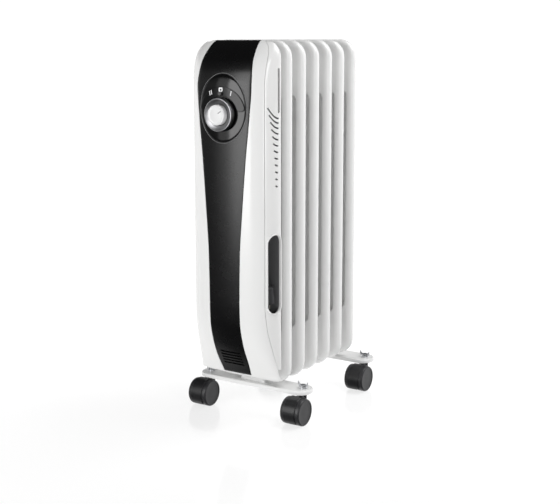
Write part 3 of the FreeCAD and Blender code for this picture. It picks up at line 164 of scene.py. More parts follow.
ENAMEL = finish_of("white_enamel", (0.79, 0.79, 0.785), 0.22, shade=0.012, grain_scale=260, grain=0.012)
WHITE_PLASTIC = finish_of("white_gloss_plastic", (0.74, 0.74, 0.735), 0.2, shade=0.01,
                          grain_scale=500, grain=0.004)
BLACK_GLOSS = finish_of("black_gloss_panel", (0.0025, 0.0025, 0.0027), 0.27, specular=0.45, shade=0.15,
                        rough_spread=0.02, grain_scale=300, grain=0.003)
DIAL_BLACK = finish_of("dial_gloss", (0.003, 0.003, 0.0032), 0.12, specular=0.45, shade=0.1,
                       rough_spread=0.02, grain_scale=500, grain=0.002)
SCALE_BLACK = finish_of("scale_satin", (0.003, 0.003, 0.0032), 0.2, specular=0.35, shade=0.1,
                        grain_scale=1500, grain=0.006)
DARK_PLASTIC = finish_of("dark_moulded_plastic", (0.02, 0.02, 0.021), 0.42, shade=0.12,
                         grain_scale=1800, grain=0.012)
# a matte, almost lightless black that paints shade: the sheet behind the grille's slots and the sleeve inside
# the selector's well
SHADE_BLACK = finish_of("painted_shade_sheet", (0.004, 0.004, 0.004), 0.7, specular=0.1, shade=0.1,
                         grain_scale=900, grain=0.02)
GREY_PLASTIC = finish_of("grey_liner_plastic", (0.12, 0.12, 0.124), 0.35, shade=0.05,
                         grain_scale=1500, grain=0.01)
CASTER_BLACK = finish_of("caster_nylon", (0.012, 0.012, 0.013), 0.36, shade=0.15, rough_spread=0.06,
                         grain_scale=1400, grain=0.01)
WHEEL_BLACK = finish_of("wheel_nylon", (0.022, 0.022, 0.024), 0.4, shade=0.15, rough_spread=0.06,
                        grain_scale=1200, grain=0.012)
ZINC = finish_of("zinc_plate", (0.62, 0.63, 0.65), 0.32, metal=1.0, shade=0.06, rough_spread=0.08,
                 rough_scale=200, grain_scale=900, grain=0.006)
SILVER = finish_of("satin_chrome", (0.34, 0.34, 0.35), 0.3, metal=1.0, shade=0.02, rough_spread=0.05,
                   rough_scale=400, grain_scale=2500, grain=0.002)
KNOB_SILVER = finish_of("knob_lacquer", (0.66, 0.66, 0.66), 0.38, metal=0.15, shade=0.02,
                        rough_spread=0.04, rough_scale=500, grain_scale=2500, grain=0.003)
CORD_PVC = finish_of("cord_pvc", (0.018, 0.018, 0.02), 0.45, shade=0.15, rough_spread=0.08,
                     rough_scale=120, grain_scale=1100, grain=0.02)
PLUG_RUBBER = finish_of("plug_rubber", (0.024, 0.024, 0.026), 0.5, shade=0.12, grain_scale=1600, grain=0.02)
GASKET = finish_of("gasket_rubber", (0.02, 0.02, 0.02), 0.7, shade=0.1, grain_scale=900, grain=0.03)
NICKEL = finish_of("pin_nickel", (0.78, 0.75, 0.68), 0.22, metal=1.0, shade=0.03, rough_spread=0.05,
                   rough_scale=300, grain_scale=1200, grain=0.003)
TRIM_GREY = finish_of("dial_trim", (0.10, 0.10, 0.102), 0.2, shade=0.1, grain_scale=700, grain=0.002)
PRINT_WHITE = finish_of("white_print", (0.78, 0.78, 0.78), 0.4, shade=0.04, grain_scale=1500, grain=0.003)
PRINT_GREY = finish_of("grey_print", (0.30, 0.30, 0.31), 0.4, shade=0.04, grain_scale=1500, grain=0.003)
LENS_CLEAR = finish_of("pilot_lens", (0.03, 0.028, 0.028), 0.06, shade=0.1, rough_spread=0.02,
                       grain_scale=600, grain=0.003, coat=1.0)
LAMP_GLASS = finish_of("lamp_glass", (0.75, 0.45, 0.3), 0.1, shade=0.05, rough_spread=0.02,
                       grain_scale=600, grain=0.002)

SLOT_FINISH = {
    "white_steel": ENAMEL,
    "zinc_steel": ZINC,
    "gasket_rubber": GASKET,
    "caster_plastic": CASTER_BLACK,
    "wheel_plastic": WHEEL_BLACK,
    "white_plastic": WHITE_PLASTIC,
    "black_gloss": BLACK_GLOSS,
    "dark_plastic": DARK_PLASTIC,
    "lens": LENS_CLEAR,
    "lamp_glass": LAMP_GLASS,
    "silver_trim": SILVER,
    "knob_trim": KNOB_SILVER,
    "cord_sheath": CORD_PVC,
    "plug_rubber": PLUG_RUBBER,
    "pin_brass": NICKEL,
}
NODE_SLOT = {part["node"]: part["material_slot"] for part in frame["record"]["subparts"]}
for node, item in frame["nodes"].items():
    item.data.materials.clear()
    item.data.materials.append(SLOT_FINISH[NODE_SLOT[node]])


# ------------ mesh helpers

SMOOTH_ANGLE = 32
ROUND_ANGLE = math.radians(50)
WELD = 0.01 * MM


def piece(name, form, finish, body="heater", stands_for=(), round_off=0.0, wall=0.0,
          cutter=None, smooth=SMOOTH_ANGLE):
    """A closed mesh from a form, its points in millimetres and its faces, riding on a body.

    wall thickens an open surface inwards, round_off rounds its sharp edges and cutter is taken away."""
    points, faces = form
    mesh = bpy.data.meshes.new(name)
    mesh.from_pydata([metres(p) for p in points], [], faces)
    mesh.materials.append(finish)
    if not wall:
        face_outwards(mesh)
    item = bpy.data.objects.new(name, mesh)
    bpy.context.scene.collection.objects.link(item)
    weld = item.modifiers.new("weld", "WELD")
    weld.merge_threshold = WELD
    if wall:
        thick = item.modifiers.new("wall", "SOLIDIFY")
        thick.thickness = wall * MM
        thick.offset = -1
    if round_off:
        bevel = item.modifiers.new("round", "BEVEL")
        bevel.width = round_off * MM
        bevel.segments = 3
        bevel.limit_method = "ANGLE"
        bevel.angle_limit = ROUND_ANGLE
    if cutter:
        away = item.modifiers.new("openings", "BOOLEAN")
        away.operation = "DIFFERENCE"
        away.solver = "EXACT"
        away.object = cutter
    settle(item, smooth)
    if cutter:
        bpy.data.objects.remove(cutter)
    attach(item, body)
    if stands_for:
        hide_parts(*stands_for)
    return item


def face_outwards(mesh):
    """Welds a closed mesh and turns all its faces outwards."""
    work = bmesh.new()
    work.from_mesh(mesh)
    bmesh.ops.remove_doubles(work, verts=work.verts, dist=WELD)
    bmesh.ops.recalc_face_normals(work, faces=work.faces)
    work.to_mesh(mesh)
    work.free()


def settle(item, smooth):
    """Applies the modifiers and shades the mesh smooth up to an angle in degrees."""
    graph = bpy.context.evaluated_depsgraph_get()
    final = bpy.data.meshes.new_from_object(item.evaluated_get(graph))
    item.modifiers.clear()
    item.data = final
    for face in final.polygons:
        face.use_smooth = True
    final.set_sharp_from_angle(angle=math.radians(smooth))


def cutter_of(parts):
    """One hidden object from several closed (points, faces) forms."""
    points, faces = merge(parts)
    mesh = bpy.data.meshes.new("cutter")
    mesh.from_pydata([metres(p) for p in points], [], faces)
    face_outwards(mesh)
    item = bpy.data.objects.new("cutter", mesh)
    bpy.context.scene.collection.objects.link(item)
    return item


def merge(parts):
    """Several (points, faces) forms as one."""
    points, faces = [], []
    for own_points, own_faces in parts:
        start = len(points)
        points += own_points
        faces += [tuple(start + i for i in face) for face in own_faces]
    return points, faces


def grid(rows):
    """Points and quads of an open sheet from rows of equal length."""
    width = len(rows[0])
    faces = []
    for j in range(len(rows) - 1):
        for i in range(width - 1):
            a = j * width + i
            faces.append((a, a + 1, a + width + 1, a + width))
    return [p for row in rows for p in row], faces


def loft(rings, ends=(True, True), joined=False):
    """Points and faces between closed rings of equal length.

    Its ends are capped, or its last ring is joined to its first."""
    count = len(rings[0])
    faces = []
    last = len(rings) if joined else len(rings) - 1
    for j in range(last):
        here, there = j * count, ((j + 1) % len(rings)) * count
        for i in range(count):
            k = (i + 1) % count
            faces.append((here + i, here + k, there + k, there + i))
    if not joined:
        if ends[0]:
            faces.append(tuple(reversed(range(count))))
        if ends[1]:
            faces.append(tuple(range((len(rings) - 1) * count, len(rings) * count)))
    return [p for ring in rings for p in ring], faces


NEAR_HALF = 0.49


def softened(corners, radii, steps=4):
    """A closed outline with its corners turned into arcs of the given radii."""
    out = []
    count = len(corners)
    for i, (corner, radius) in enumerate(zip(corners, radii)):
        here = Vector(corner)
        before = Vector(corners[i - 1]) - here
        after = Vector(corners[(i + 1) % count]) - here
        if radius <= 0:
            out.append(tuple(here))
            continue
        half = before.angle(after) / 2
        reach = min(radius / math.tan(half), before.length * NEAR_HALF, after.length * NEAR_HALF)
        radius = reach * math.tan(half)
        start, end = here + before.normalized() * reach, here + after.normalized() * reach
        centre = here + (before.normalized() + after.normalized()).normalized() * radius / math.sin(half)
        for step in range(steps + 1):
            share = step / steps
            spot = start.lerp(end, share) - centre
            out.append(tuple(centre + spot.normalized() * radius))
    return out


def turned(profile, centre, axis, steps=64, start=0.0, sweep=360.0):
    """A closed (radius, along) profile turned round an axis, X, Y or Z, through centre."""
    rings = []
    whole = sweep >= 360
    count = steps if whole else steps + 1
    for j in range(count):
        angle = math.radians(start + sweep * j / steps)
        side, up = math.cos(angle), math.sin(angle)
        ring = []
        for radius, along in profile:
            if axis == "X":
                spot = Vector((along, radius * side, radius * up))
            elif axis == "Z":
                spot = Vector((radius * side, radius * up, along))
            else:
                spot = Vector((radius * side, along, radius * up))
            ring.append(centre + spot)
        rings.append(ring)
    return loft(rings, joined=whole)


def smooth_through(spots):
    """A smooth curve y(x) through spots, without overshoot between them."""
    xs, ys = [s[0] for s in spots], [s[1] for s in spots]
    steps = [(ys[i + 1] - ys[i]) / (xs[i + 1] - xs[i]) for i in range(len(xs) - 1)]
    slopes = [steps[0]]
    for a, b in zip(steps, steps[1:]):
        slopes.append(0.0 if a * b <= 0 else 2 * a * b / (a + b))
    slopes.append(steps[-1])

    def at(x):
        x = min(max(x, xs[0]), xs[-1])
        i = max(k for k in range(len(xs) - 1) if xs[k] <= x or k == 0)
        span = xs[i + 1] - xs[i]
        share = (x - xs[i]) / span
        rise = ys[i] + span * share * slopes[i]
        bend = 3 * (ys[i + 1] - ys[i]) - span * (2 * slopes[i] + slopes[i + 1])
        turn = 2 * (ys[i] - ys[i + 1]) + span * (slopes[i] + slopes[i + 1])
        return rise + bend * share ** 2 + turn * share ** 3
    return at


def spread(first, last, count):
    """Evenly spaced values from first to last, both included."""
    return [first + (last - first) * i / (count - 1) for i in range(count)]


# ------------ mains lead

CORD = 7.0
PLUG_X = 59.0
PLUG_Y = -121.0
COIL = middle("power_cord_coil")
COIL_INNER_TURN = 31.0
COIL_OUTER_TURN = 45.5
TURNS_IN_A_LAYER = 3
STEPS_IN_A_TURN = 16
STEPS_TO_CROSS = 10
LAYER_FRONT = -128.0
LAYER_BACK = -121.0
LEAD_Z = COIL.z + COIL_OUTER_TURN


def coil_turns():
    """The coil's points: the back layer winds in from the lead, the front layer winds out to the tail."""
    count = TURNS_IN_A_LAYER * STEPS_IN_A_TURN
    points = []
    layers = ((COIL_OUTER_TURN, COIL_INNER_TURN), (COIL_INNER_TURN, COIL_OUTER_TURN))
    for layer, (first, last) in enumerate(layers):
        for step in range(1, count):
            share = step / count
            angle = math.radians(90) - math.radians(360) * TURNS_IN_A_LAYER * share
            radius = first + (last - first) * share
            past = min(max((layer * count + step - count) / STEPS_TO_CROSS + 0.5, 0.0), 1.0)
            y = LAYER_BACK + (LAYER_FRONT - LAYER_BACK) * past
            points.append((COIL.x + radius * math.cos(angle), y, COIL.z + radius * math.sin(angle)))
    return points


def mains_lead():
    """The lead from its gland through the coil to the plug; gives the piece and where it starts."""
    gland = high("cord_gland")
    lead = [(x, LAYER_BACK, LEAD_Z) for x in (gland.x - 8, -39, -15)]
    tail = [(1.5, LAYER_FRONT, LEAD_Z), (18, LAYER_FRONT, LEAD_Z), (33.4, -127, LEAD_Z),
            (45.1, -125.5, LEAD_Z - 4.9), (54.1, -123, LEAD_Z - 13.9), (PLUG_X, -121.5, LEAD_Z - 25.6),
            (PLUG_X, PLUG_Y, LEAD_Z - 39), (PLUG_X, PLUG_Y, LEAD_Z - 52)]
    route = lead + coil_turns() + tail
    curve = bpy.data.curves.new("mains_lead", "CURVE")
    curve.dimensions = "3D"
    spline = curve.splines.new("NURBS")
    spline.points.add(len(route) - 1)
    for point, spot in zip(spline.points, route):
        point.co = (*metres(spot), 1)
    spline.order_u = 3
    spline.use_endpoint_u = True
    spline.resolution_u = 8
    curve.bevel_depth = CORD / 2 * MM
    curve.bevel_resolution = 5
    curve.use_fill_caps = True
    curve.materials.append(CORD_PVC)
    item = bpy.data.objects.new("mains_lead", curve)
    bpy.context.scene.collection.objects.link(item)
    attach(item, "heater")
    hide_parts("power_cord_lead", "power_cord_coil", "power_cord_tail")
    return item, route[0]


lead, lead_exit = mains_lead()


# ------------ housing surface

TOP = high("front_shell").z
SHELL_LOW = low("front_shell").z
COVER_LOW = low("rear_cover").z
FACE = low("front_shell").y
BACK = high("rear_cover").y
HALF = 78.0
DEPTH = BACK - FACE
SHOULDER = 45.0
CROWN_RADIUS = 250.0
TOP_CORNER = 29.0
SHELL_WALL = 1.5

CROWN_TURN = math.asin(SHOULDER / CROWN_RADIUS)
SIDE_RADIUS = (HALF - SHOULDER) / (1 - math.sin(CROWN_TURN))
SIDE_FROM = DEPTH - CROWN_RADIUS * (1 - math.cos(CROWN_TURN)) - SIDE_RADIUS * math.cos(CROWN_TURN)
GIRTH_CROWN = CROWN_RADIUS * CROWN_TURN
GIRTH_CORNER = GIRTH_CROWN + SIDE_RADIUS * (math.pi / 2 - CROWN_TURN)
GIRTH_ALL = GIRTH_CORNER + SIDE_FROM
SEAM_GIRTH = 71.3
SEAM_GAP = 0.55
EDGE_STOP = 0.4
BAND_GAP = 0.4

# how far the surface stands forward of the back, half the dark band's width, and where the seam
# between shell and cover lies round the section, each at some heights
depth_at = smooth_through([(SHELL_LOW, 11), (140, 40.6), (175, 48.2), (210, DEPTH), (520, DEPTH), (548, 49.4),
                           (568, 45.8), (586, 39), (600, 29), (610, 19), (616, 11), (619, 4.8), (TOP, 0)])
band_half_at = smooth_through([(SHELL_LOW, 26.5), (110, 29.4), (200, 28.8), (280, 29.9), (360, 35),
                               (440, 41.4), (500, 47.4), (550, 51), (595, 47), (TOP, 42.5)])
seam_at = smooth_through([(SHELL_LOW, 92), (COVER_LOW, 88), (120, 82.4), (170, 74), (210, SEAM_GIRTH),
                          (TOP, SEAM_GIRTH)])


def half_at(z):
    """Half the housing's width at a height, drawn in by its round top corners."""
    over = max(0.0, z - (TOP - TOP_CORNER))
    return HALF - TOP_CORNER + math.sqrt(max(0.0, TOP_CORNER ** 2 - over ** 2))


def plan(girth):
    """(across, forward) of the full section, girth millimetres round from its middle."""
    if girth < GIRTH_CROWN:
        angle = girth / CROWN_RADIUS
        return CROWN_RADIUS * math.sin(angle), DEPTH - CROWN_RADIUS * (1 - math.cos(angle))
    if girth < GIRTH_CORNER:
        angle = CROWN_TURN + (girth - GIRTH_CROWN) / SIDE_RADIUS
        return HALF - SIDE_RADIUS * (1 - math.sin(angle)), SIDE_FROM + SIDE_RADIUS * math.cos(angle)
    return HALF, GIRTH_ALL - girth


def girth_at(across, z):
    """How far round the section a distance from the middle lies."""
    wide = across * HALF / half_at(z)
    if wide < SHOULDER:
        return CROWN_RADIUS * math.asin(wide / CROWN_RADIUS)
    angle = math.asin(min(1.0, (wide - HALF + SIDE_RADIUS) / SIDE_RADIUS))
    return GIRTH_CROWN + SIDE_RADIUS * (angle - CROWN_TURN)


def skin(side, girth, z):
    """A point of the housing's outside; side is 1 on the right and -1 on the left."""
    across, forward = plan(girth)
    return Vector((side * (across * half_at(z) / HALF), BACK - depth_at(z) / DEPTH * forward, z))


def front_at(x, z):
    """A point of the housing's front at a place across it."""
    return skin(1 if x >= 0 else -1, girth_at(abs(x), z), z)


# (above this height, the rows lie this far apart), closer where the housing curves
ROW_STEPS = ((616, 0.5), (606, 1.2), (560, 2.2), (130, 6.0), (0, 3.5))


def heights(first, last):
    """Rows up the housing."""
    rows = [first]
    z = first
    while z < last:
        z += next(step for above, step in ROW_STEPS if z > above)
        rows.append(min(z, last))
    return rows


LIP = 2.2
# (height over the floor's underside, how far it is drawn in)
LIP_EDGE = ((0.0, 0.8), (0.5, 0.1), (LIP - 0.4, 0.0), (LIP - 0.3, 0.5))
GRILLE_LOW = 98.5
GRILLE_PITCH = 5.4
GRILLE_SLOTS = 5
GRILLE_HALF_WIDE = 20
GRILLE_HALF_TALL = 1.5
# size and place of the black sheet of painted shade behind the grille's slots
SHADE_SHEET_HALF_WIDE = 24
SHADE_SHEET_TOP = 140
SHADE_SHEET_BEHIND = 5


def front_shell():
    """Two side strips of the front shell, joined under the housing by its floor."""
    for side, word in ((1, "right"), (-1, "left")):
        rows = []
        for z in heights(SHELL_LOW, TOP - EDGE_STOP):
            edge = girth_at(band_half_at(z) + BAND_GAP, z)
            rows.append([skin(side, g, z) for g in spread(edge, min(seam_at(z), GIRTH_ALL), 17)])
        rows = rows if side > 0 else [list(reversed(row)) for row in rows]
        piece(f"front_shell_{word}", grid(rows), WHITE_PLASTIC, wall=SHELL_WALL, round_off=0.6,
              stands_for=("front_shell",) if side > 0 else ())


def shell_floor():
    """The front shell's floor, whose front edge shows as a light lip under the band."""
    rings = []
    for rise, inset in LIP_EDGE:
        z = SHELL_LOW + rise
        half_ring = [skin(1, g, z) for g in spread(0.0, min(seam_at(z), GIRTH_ALL) - 2, 20)]
        ring = [Vector((-p.x, p.y, p.z)) for p in reversed(half_ring[1:])] + half_ring
        rings.append([Vector((p.x * (1 - inset / HALF), p.y + inset, p.z)) for p in ring])
    piece("front_shell_floor", loft(rings), WHITE_PLASTIC)


def painted_shade_sheet():
    """A matte black sheet behind the grille's slots, painted shade standing in for the dark inside of the
    housing.
    """
    rows = []
    for z in spread(SHELL_LOW + 8, SHADE_SHEET_TOP, 8):
        across = spread(-SHADE_SHEET_HALF_WIDE, SHADE_SHEET_HALF_WIDE, 13)
        rows.append([front_at(x, z) + Vector((0, SHADE_SHEET_BEHIND, 0)) for x in across])
    piece("painted_shade_sheet", grid(rows), SHADE_BLACK, wall=1.0)


def band():
    """The dark gloss sheet down the middle, with the air grille's slots."""
    rows = []
    for z in heights(SHELL_LOW + LIP, TOP - EDGE_STOP):
        half = band_half_at(z)
        rows.append([front_at(x, z) for x in spread(-half, half, 25)])
    slots = []
    for i in range(GRILLE_SLOTS):
        z = GRILLE_LOW + GRILLE_PITCH * i
        slots.append(box_form((-GRILLE_HALF_WIDE, GRILLE_HALF_WIDE), (FACE - 5, BACK - 1),
                              (z - GRILLE_HALF_TALL, z + GRILLE_HALF_TALL)))
    piece("front_band_gloss", grid(rows), BLACK_GLOSS, wall=SHELL_WALL, round_off=0.5,
          cutter=cutter_of(slots), stands_for=("front_band",))


def box_form(x, y, z):
    """A block from its (low, high) along each axis."""
    ring = [(x[0], y[0]), (x[1], y[0]), (x[1], y[1]), (x[0], y[1])]
    return loft([[Vector((a, b, level)) for a, b in ring] for level in z])


LOUVRES = 12
LOUVRE_REAR = -115.0
LOUVRE_LOW = 396
LOUVRE_HIGH = 517
LOUVRE_SHORT = 5.0
LOUVRE_GAIN = 15.5
LOUVRE_HALF_TALL = 1.3
LOUVRE_CURVE = 2.2
LOUVRE_POINTS = 9


def louvre_form(side, share):
    """A curved slot cutter; share runs from the lowest louvre to the highest, which is the longest."""
    rear = LOUVRE_REAR + 2.5 * share
    front = rear - LOUVRE_SHORT - LOUVRE_GAIN * share ** 1.6
    top_z = LOUVRE_LOW + (LOUVRE_HIGH - LOUVRE_LOW) * share
    drop = 2 + 15 * share ** 3
    rings = []
    for x in (45, HALF + 8):
        upper, lower = [], []
        for t in spread(0, 1, LOUVRE_POINTS):
            y = front + (rear - front) * t
            z = top_z - drop * (1 - (1 - t) ** LOUVRE_CURVE)
            slope = drop * LOUVRE_CURVE * (1 - t) ** (LOUVRE_CURVE - 1) / (rear - front)
            lean = math.atan(slope)
            dy, dz = LOUVRE_HALF_TALL * math.sin(lean), LOUVRE_HALF_TALL * math.cos(lean)
            upper.append(Vector((side * x, y + dy, z + dz)))
            lower.append(Vector((side * x, y - dy, z - dz)))
        rings.append(upper + lower[::-1])
    if side < 0:
        rings.reverse()
    return loft(rings)


SLOT_Y = -120.4
SLOT_R = 13.2
SLOT_LOW = 191.0
SLOT_HIGH = 318.0
RIM_WIDE = 2.2
RIM_PROUD = 1.5
RIM_FOOT = 0.2

GROOVE_Y = -112.5
GROOVE_R = 3.0
GROOVE_LOW = 508.0
GROOVE_HIGH = 577.0


def upright_slot(middle_y, radius, low_z, high_z, steps=14):
    """(y, z) points round an upright slot between its end centres."""
    out = []
    for centre_z, start in ((high_z, 0.0), (low_z, math.pi)):
        for j in range(steps + 1):
            angle = start + math.pi * j / steps
            out.append((middle_y + radius * math.cos(angle), centre_z + radius * math.sin(angle)))
    return out


def cord_slot(radius):
    """The cord slot's outline, or one round it, with ends of a radius."""
    return upright_slot(SLOT_Y, radius, SLOT_LOW + SLOT_R, SLOT_HIGH - SLOT_R)


def side_groove(radius):
    """The side groove's outline, or one round it."""
    return upright_slot(GROOVE_Y, radius, GROOVE_LOW + GROOVE_R, GROOVE_HIGH - GROOVE_R)


COVER_CORNER = 3


def rear_cover():
    """Both sides and the back of the rear cover in one shell, with its louvres and cord slot."""
    rows = []
    for z in heights(COVER_LOW, TOP - 3):
        scale = half_at(z) / HALF
        forward = depth_at(z) / DEPTH
        right = [plan(g) for g in spread(seam_at(z) + SEAM_GAP, GIRTH_ALL - COVER_CORNER, 15)]
        for angle in [math.radians(18 * j) for j in range(1, 6)]:
            right.append((HALF - COVER_CORNER * (1 - math.cos(angle)), COVER_CORNER * (1 - math.sin(angle))))
        right += [(across, 0) for across in (60, 40, 20)]
        row = [Vector((a * scale, BACK - f * forward, z)) for a, f in right]
        row.append(Vector((0, BACK, z)))
        row += [Vector((-a * scale, BACK - f * forward, z)) for a, f in reversed(right)]
        rows.append(row)
    cuts = []
    for side in (1, -1):
        cuts += [louvre_form(side, share) for share in spread(0, 1, LOUVRES)]
    cuts.append(loft([[Vector((x, y, z)) for y, z in cord_slot(SLOT_R)] for x in (50, HALF + 10)]))
    groove = side_groove(GROOVE_R)
    for side in (1, -1):
        cuts.append(loft([[Vector((side * x, y, z)) for y, z in groove] for x in (HALF - 10, HALF + 10)]))
    piece("rear_cover_shell", grid(rows), WHITE_PLASTIC, wall=SHELL_WALL, round_off=0.5,
          cutter=cutter_of(cuts), stands_for=("rear_cover",))


def side_x(y):
    """The housing side's distance from the middle at a depth, away from its curved ends."""
    forward = BACK - y
    if forward <= SIDE_FROM:
        return HALF
    return HALF - SIDE_RADIUS + math.sqrt(SIDE_RADIUS ** 2 - (forward - SIDE_FROM) ** 2)


def slot_rim():
    """The raised lip round the cord slot, half round in section and following the curved side."""
    inner = SLOT_R - RIM_FOOT
    outer, reach = inner + RIM_WIDE, RIM_WIDE / 2
    rings = []
    section = [(inner, -3.0), (inner, RIM_FOOT)]
    for j in range(1, 8):
        angle = math.pi * (1 - j / 8)
        section.append((inner + reach * (1 + math.cos(angle)),
                        RIM_FOOT + (RIM_PROUD - RIM_FOOT) * math.sin(angle)))
    section += [(outer, RIM_FOOT), (outer, -1.2)]
    for radius, lift in section:
        ring = []
        for y, z in cord_slot(radius):
            ring.append(Vector((side_x(min(y, BACK)) + lift, min(y, BACK - 0.2), z)))
        rings.append(ring)
    piece("cord_slot_rim", loft(rings, joined=True), WHITE_PLASTIC)


def groove_floors():
    """The sunk floor of the long groove on each side."""
    for side, word in ((1, "right"), (-1, "left")):
        rings = [[Vector((side * x, y, z)) for y, z in side_groove(GROOVE_R + 1)]
                 for x in (HALF - 4.2, HALF - 3.0)]
        piece(f"side_groove_{word}", loft(rings), WHITE_PLASTIC)


front_shell()
shell_floor()
groove_floors()
painted_shade_sheet()
band()
rear_cover()
slot_rim()


# ------------ dial

DIAL_Z = middle("selector_ring").z
PANEL_Z = middle("dial_panel").z
PANEL_WIDE = (high("dial_panel").x - low("dial_panel").x) / 2
PANEL_SQUASH = 0.97
PANEL_TALL = (high("dial_panel").z - low("dial_panel").z) / 2 * PANEL_SQUASH
PANEL_PROUD = 1.9
PANEL_CROWN = 1.0
OVAL_POINTS = 72
# (share of the panel's size, how far behind its front)
PANEL_RINGS = ((0.97, 5.0), (0.97, 0.9), (0.965, 0.45), (0.955, 0.15), (0.94, 0.0), (0.88, 0.0),
               (0.8, 0.0), (0.7, 0.0), (0.6, 0.0), (0.5, 0.0), (0.4, 0.0), (0.3, 0.0))
TRIM_RINGS = ((1.012, 3.0), (1.012, 0.95), (1.008, 0.55), (0.998, 0.45), (0.99, 0.7), (0.988, 3.0))
SCALE_FROM = 28.5
SCALE_TO = 43.0
SCALE_PROUD = 1.5
SCALE_END = 8.0
SCALE_ROUNDING = 4.0
SCALE_THICK = 1.6


def panel_y(x, z):
    """The dial panel's front, a little proud of the housing and crowned with it."""
    out = math.hypot(x / PANEL_WIDE, (z - PANEL_Z) / PANEL_TALL)
    return front_at(x, z).y - PANEL_PROUD + PANEL_CROWN * min(out, 1.0) ** 2


def oval(share, drop):
    """A ring of the panel's outline at a share of its size, that far behind its front."""
    ring = []
    for j in range(OVAL_POINTS):
        angle = 2 * math.pi * j / OVAL_POINTS
        x = PANEL_WIDE * share * math.cos(angle)
        z = PANEL_Z + PANEL_TALL * share * math.sin(angle)
        ring.append(Vector((x, panel_y(x, z) + drop, z)))
    return ring


def dial_panel():
    """The crowned oval plate and the thin trim round it."""
    form = loft([oval(share, drop) for share, drop in PANEL_RINGS])
    piece("dial_plate", form, DIAL_BLACK, stands_for=("dial_panel",),
          smooth=50)
    form = loft([oval(share, drop) for share, drop in TRIM_RINGS], joined=True)
    piece("dial_trim", form, TRIM_GREY, smooth=60)


def scale_y(x, z):
    """Depth of the scale's front at a place on it."""
    return panel_y(x, z) - SCALE_PROUD


def scale_ring():
    """The horseshoe over the selector, with rounded ends."""
    rows = []
    mid = (SCALE_FROM + SCALE_TO) / 2
    half = (SCALE_TO - SCALE_FROM) / 2
    for radius in spread(SCALE_FROM, SCALE_TO, 9):
        rounding = SCALE_ROUNDING * (1 - math.sqrt(max(0.0, 1 - ((radius - mid) / half) ** 2)))
        end = SCALE_END + math.degrees(rounding / radius)
        row = []
        for angle in spread(180 - end, end, 49):
            x = radius * math.cos(math.radians(angle))
            z = DIAL_Z + radius * math.sin(math.radians(angle))
            row.append(Vector((x, scale_y(x, z), z)))
        rows.append(row)
    piece("scale_horseshoe", grid(rows), SCALE_BLACK, wall=SCALE_THICK, round_off=0.45,
          stands_for=("scale_ring",))


def tablet(half_wide, half_tall, radius, steps=4):
    """A rounded oblong's outline about the origin, in X and Z."""
    corners = [Vector((a * half_wide, 0, b * half_tall)) for a, b in ((-1, -1), (1, -1), (1, 1), (-1, 1))]
    return softened(corners, [radius] * 4, steps)


STROKE = (1.4, 7.0, 0.4)
STROKE_LEAN = 12
WINDOW = (7.2, 6.6, 1.4)
WINDOW_MIDDLE = (2.6, 2.6, 0.8)


def raised_mark(name, middle_x, middle_z, wide, tall, radius, finish, lean=0.0, proud=0.5):
    """A printed mark, a thin rounded tablet lying on the scale."""
    outline = tablet(wide / 2, tall / 2, radius)
    turn = math.radians(lean)
    ring = []
    for a, _, b in outline:
        x = middle_x + a * math.cos(turn) + b * math.sin(turn)
        z = middle_z - a * math.sin(turn) + b * math.cos(turn)
        ring.append((x, z))
    rings = [[Vector((x, scale_y(x, z) + drop, z)) for x, z in ring] for drop in (0.3, -proud)]
    piece(name, loft(rings), finish)


def marks():
    """The selector's two settings and the small window between them."""
    raised_mark("mark_two_left", -21.4, DIAL_Z + 32.4, *STROKE, PRINT_WHITE, -STROKE_LEAN)
    raised_mark("mark_two_right", -18.0, DIAL_Z + 34.0, *STROKE, PRINT_WHITE, -STROKE_LEAN)
    raised_mark("mark_one", 18.6, DIAL_Z + 32.8, *STROKE, PRINT_WHITE, STROKE_LEAN)
    raised_mark("mark_window", 0.0, DIAL_Z + 38.4, *WINDOW, PRINT_WHITE)
    raised_mark("mark_window_middle", 0.4, DIAL_Z + 38.2, *WINDOW_MIDDLE, SCALE_BLACK, proud=0.7)


ROUND_STEPS = 96
SELECTOR_WELL = 16.8


def selector():
    """The satin ring round the knob, and a matte black sleeve inside it that paints the shade of the well
    round the knob.
    """
    outer, well = high("selector_ring").x, SELECTOR_WELL
    front, rear = low("selector_ring").y, high("selector_ring").y
    profile = [(2.5, rear), (outer - 0.6, rear), (outer, rear - 0.6), (outer, front + 3.0),
               (outer - 0.6, front + 0.8), (outer - 1.5, front + 0.1), (outer - 2.3, front),
               (22.4, front + 0.8), (19.4, front + 2.0),
               (17.6, front + 2.6), (well, front + 3.1), (well, rear - 1.5), (2.5, rear - 1.5)]
    form = turned(profile, Vector((0, 0, DIAL_Z)), "Y", ROUND_STEPS)
    piece("selector_bezel", form, SILVER, body="selector", stands_for=("selector_ring",),
          smooth=24)
    # a thin black sleeve over the well's silver wall: painted shade of the gap round the knob
    inner, outer = well - 0.45, well - 0.05
    shade_sleeve_ring = [(inner, rear - 1.6), (outer, rear - 1.6), (outer, front + 3.3), (inner, front + 3.3)]
    form = turned(shade_sleeve_ring, Vector((0, 0, DIAL_Z)), "Y", ROUND_STEPS)
    piece("selector_well_shade", form, SHADE_BLACK, body="selector")


KNOB_POINTS_AT = 58.0


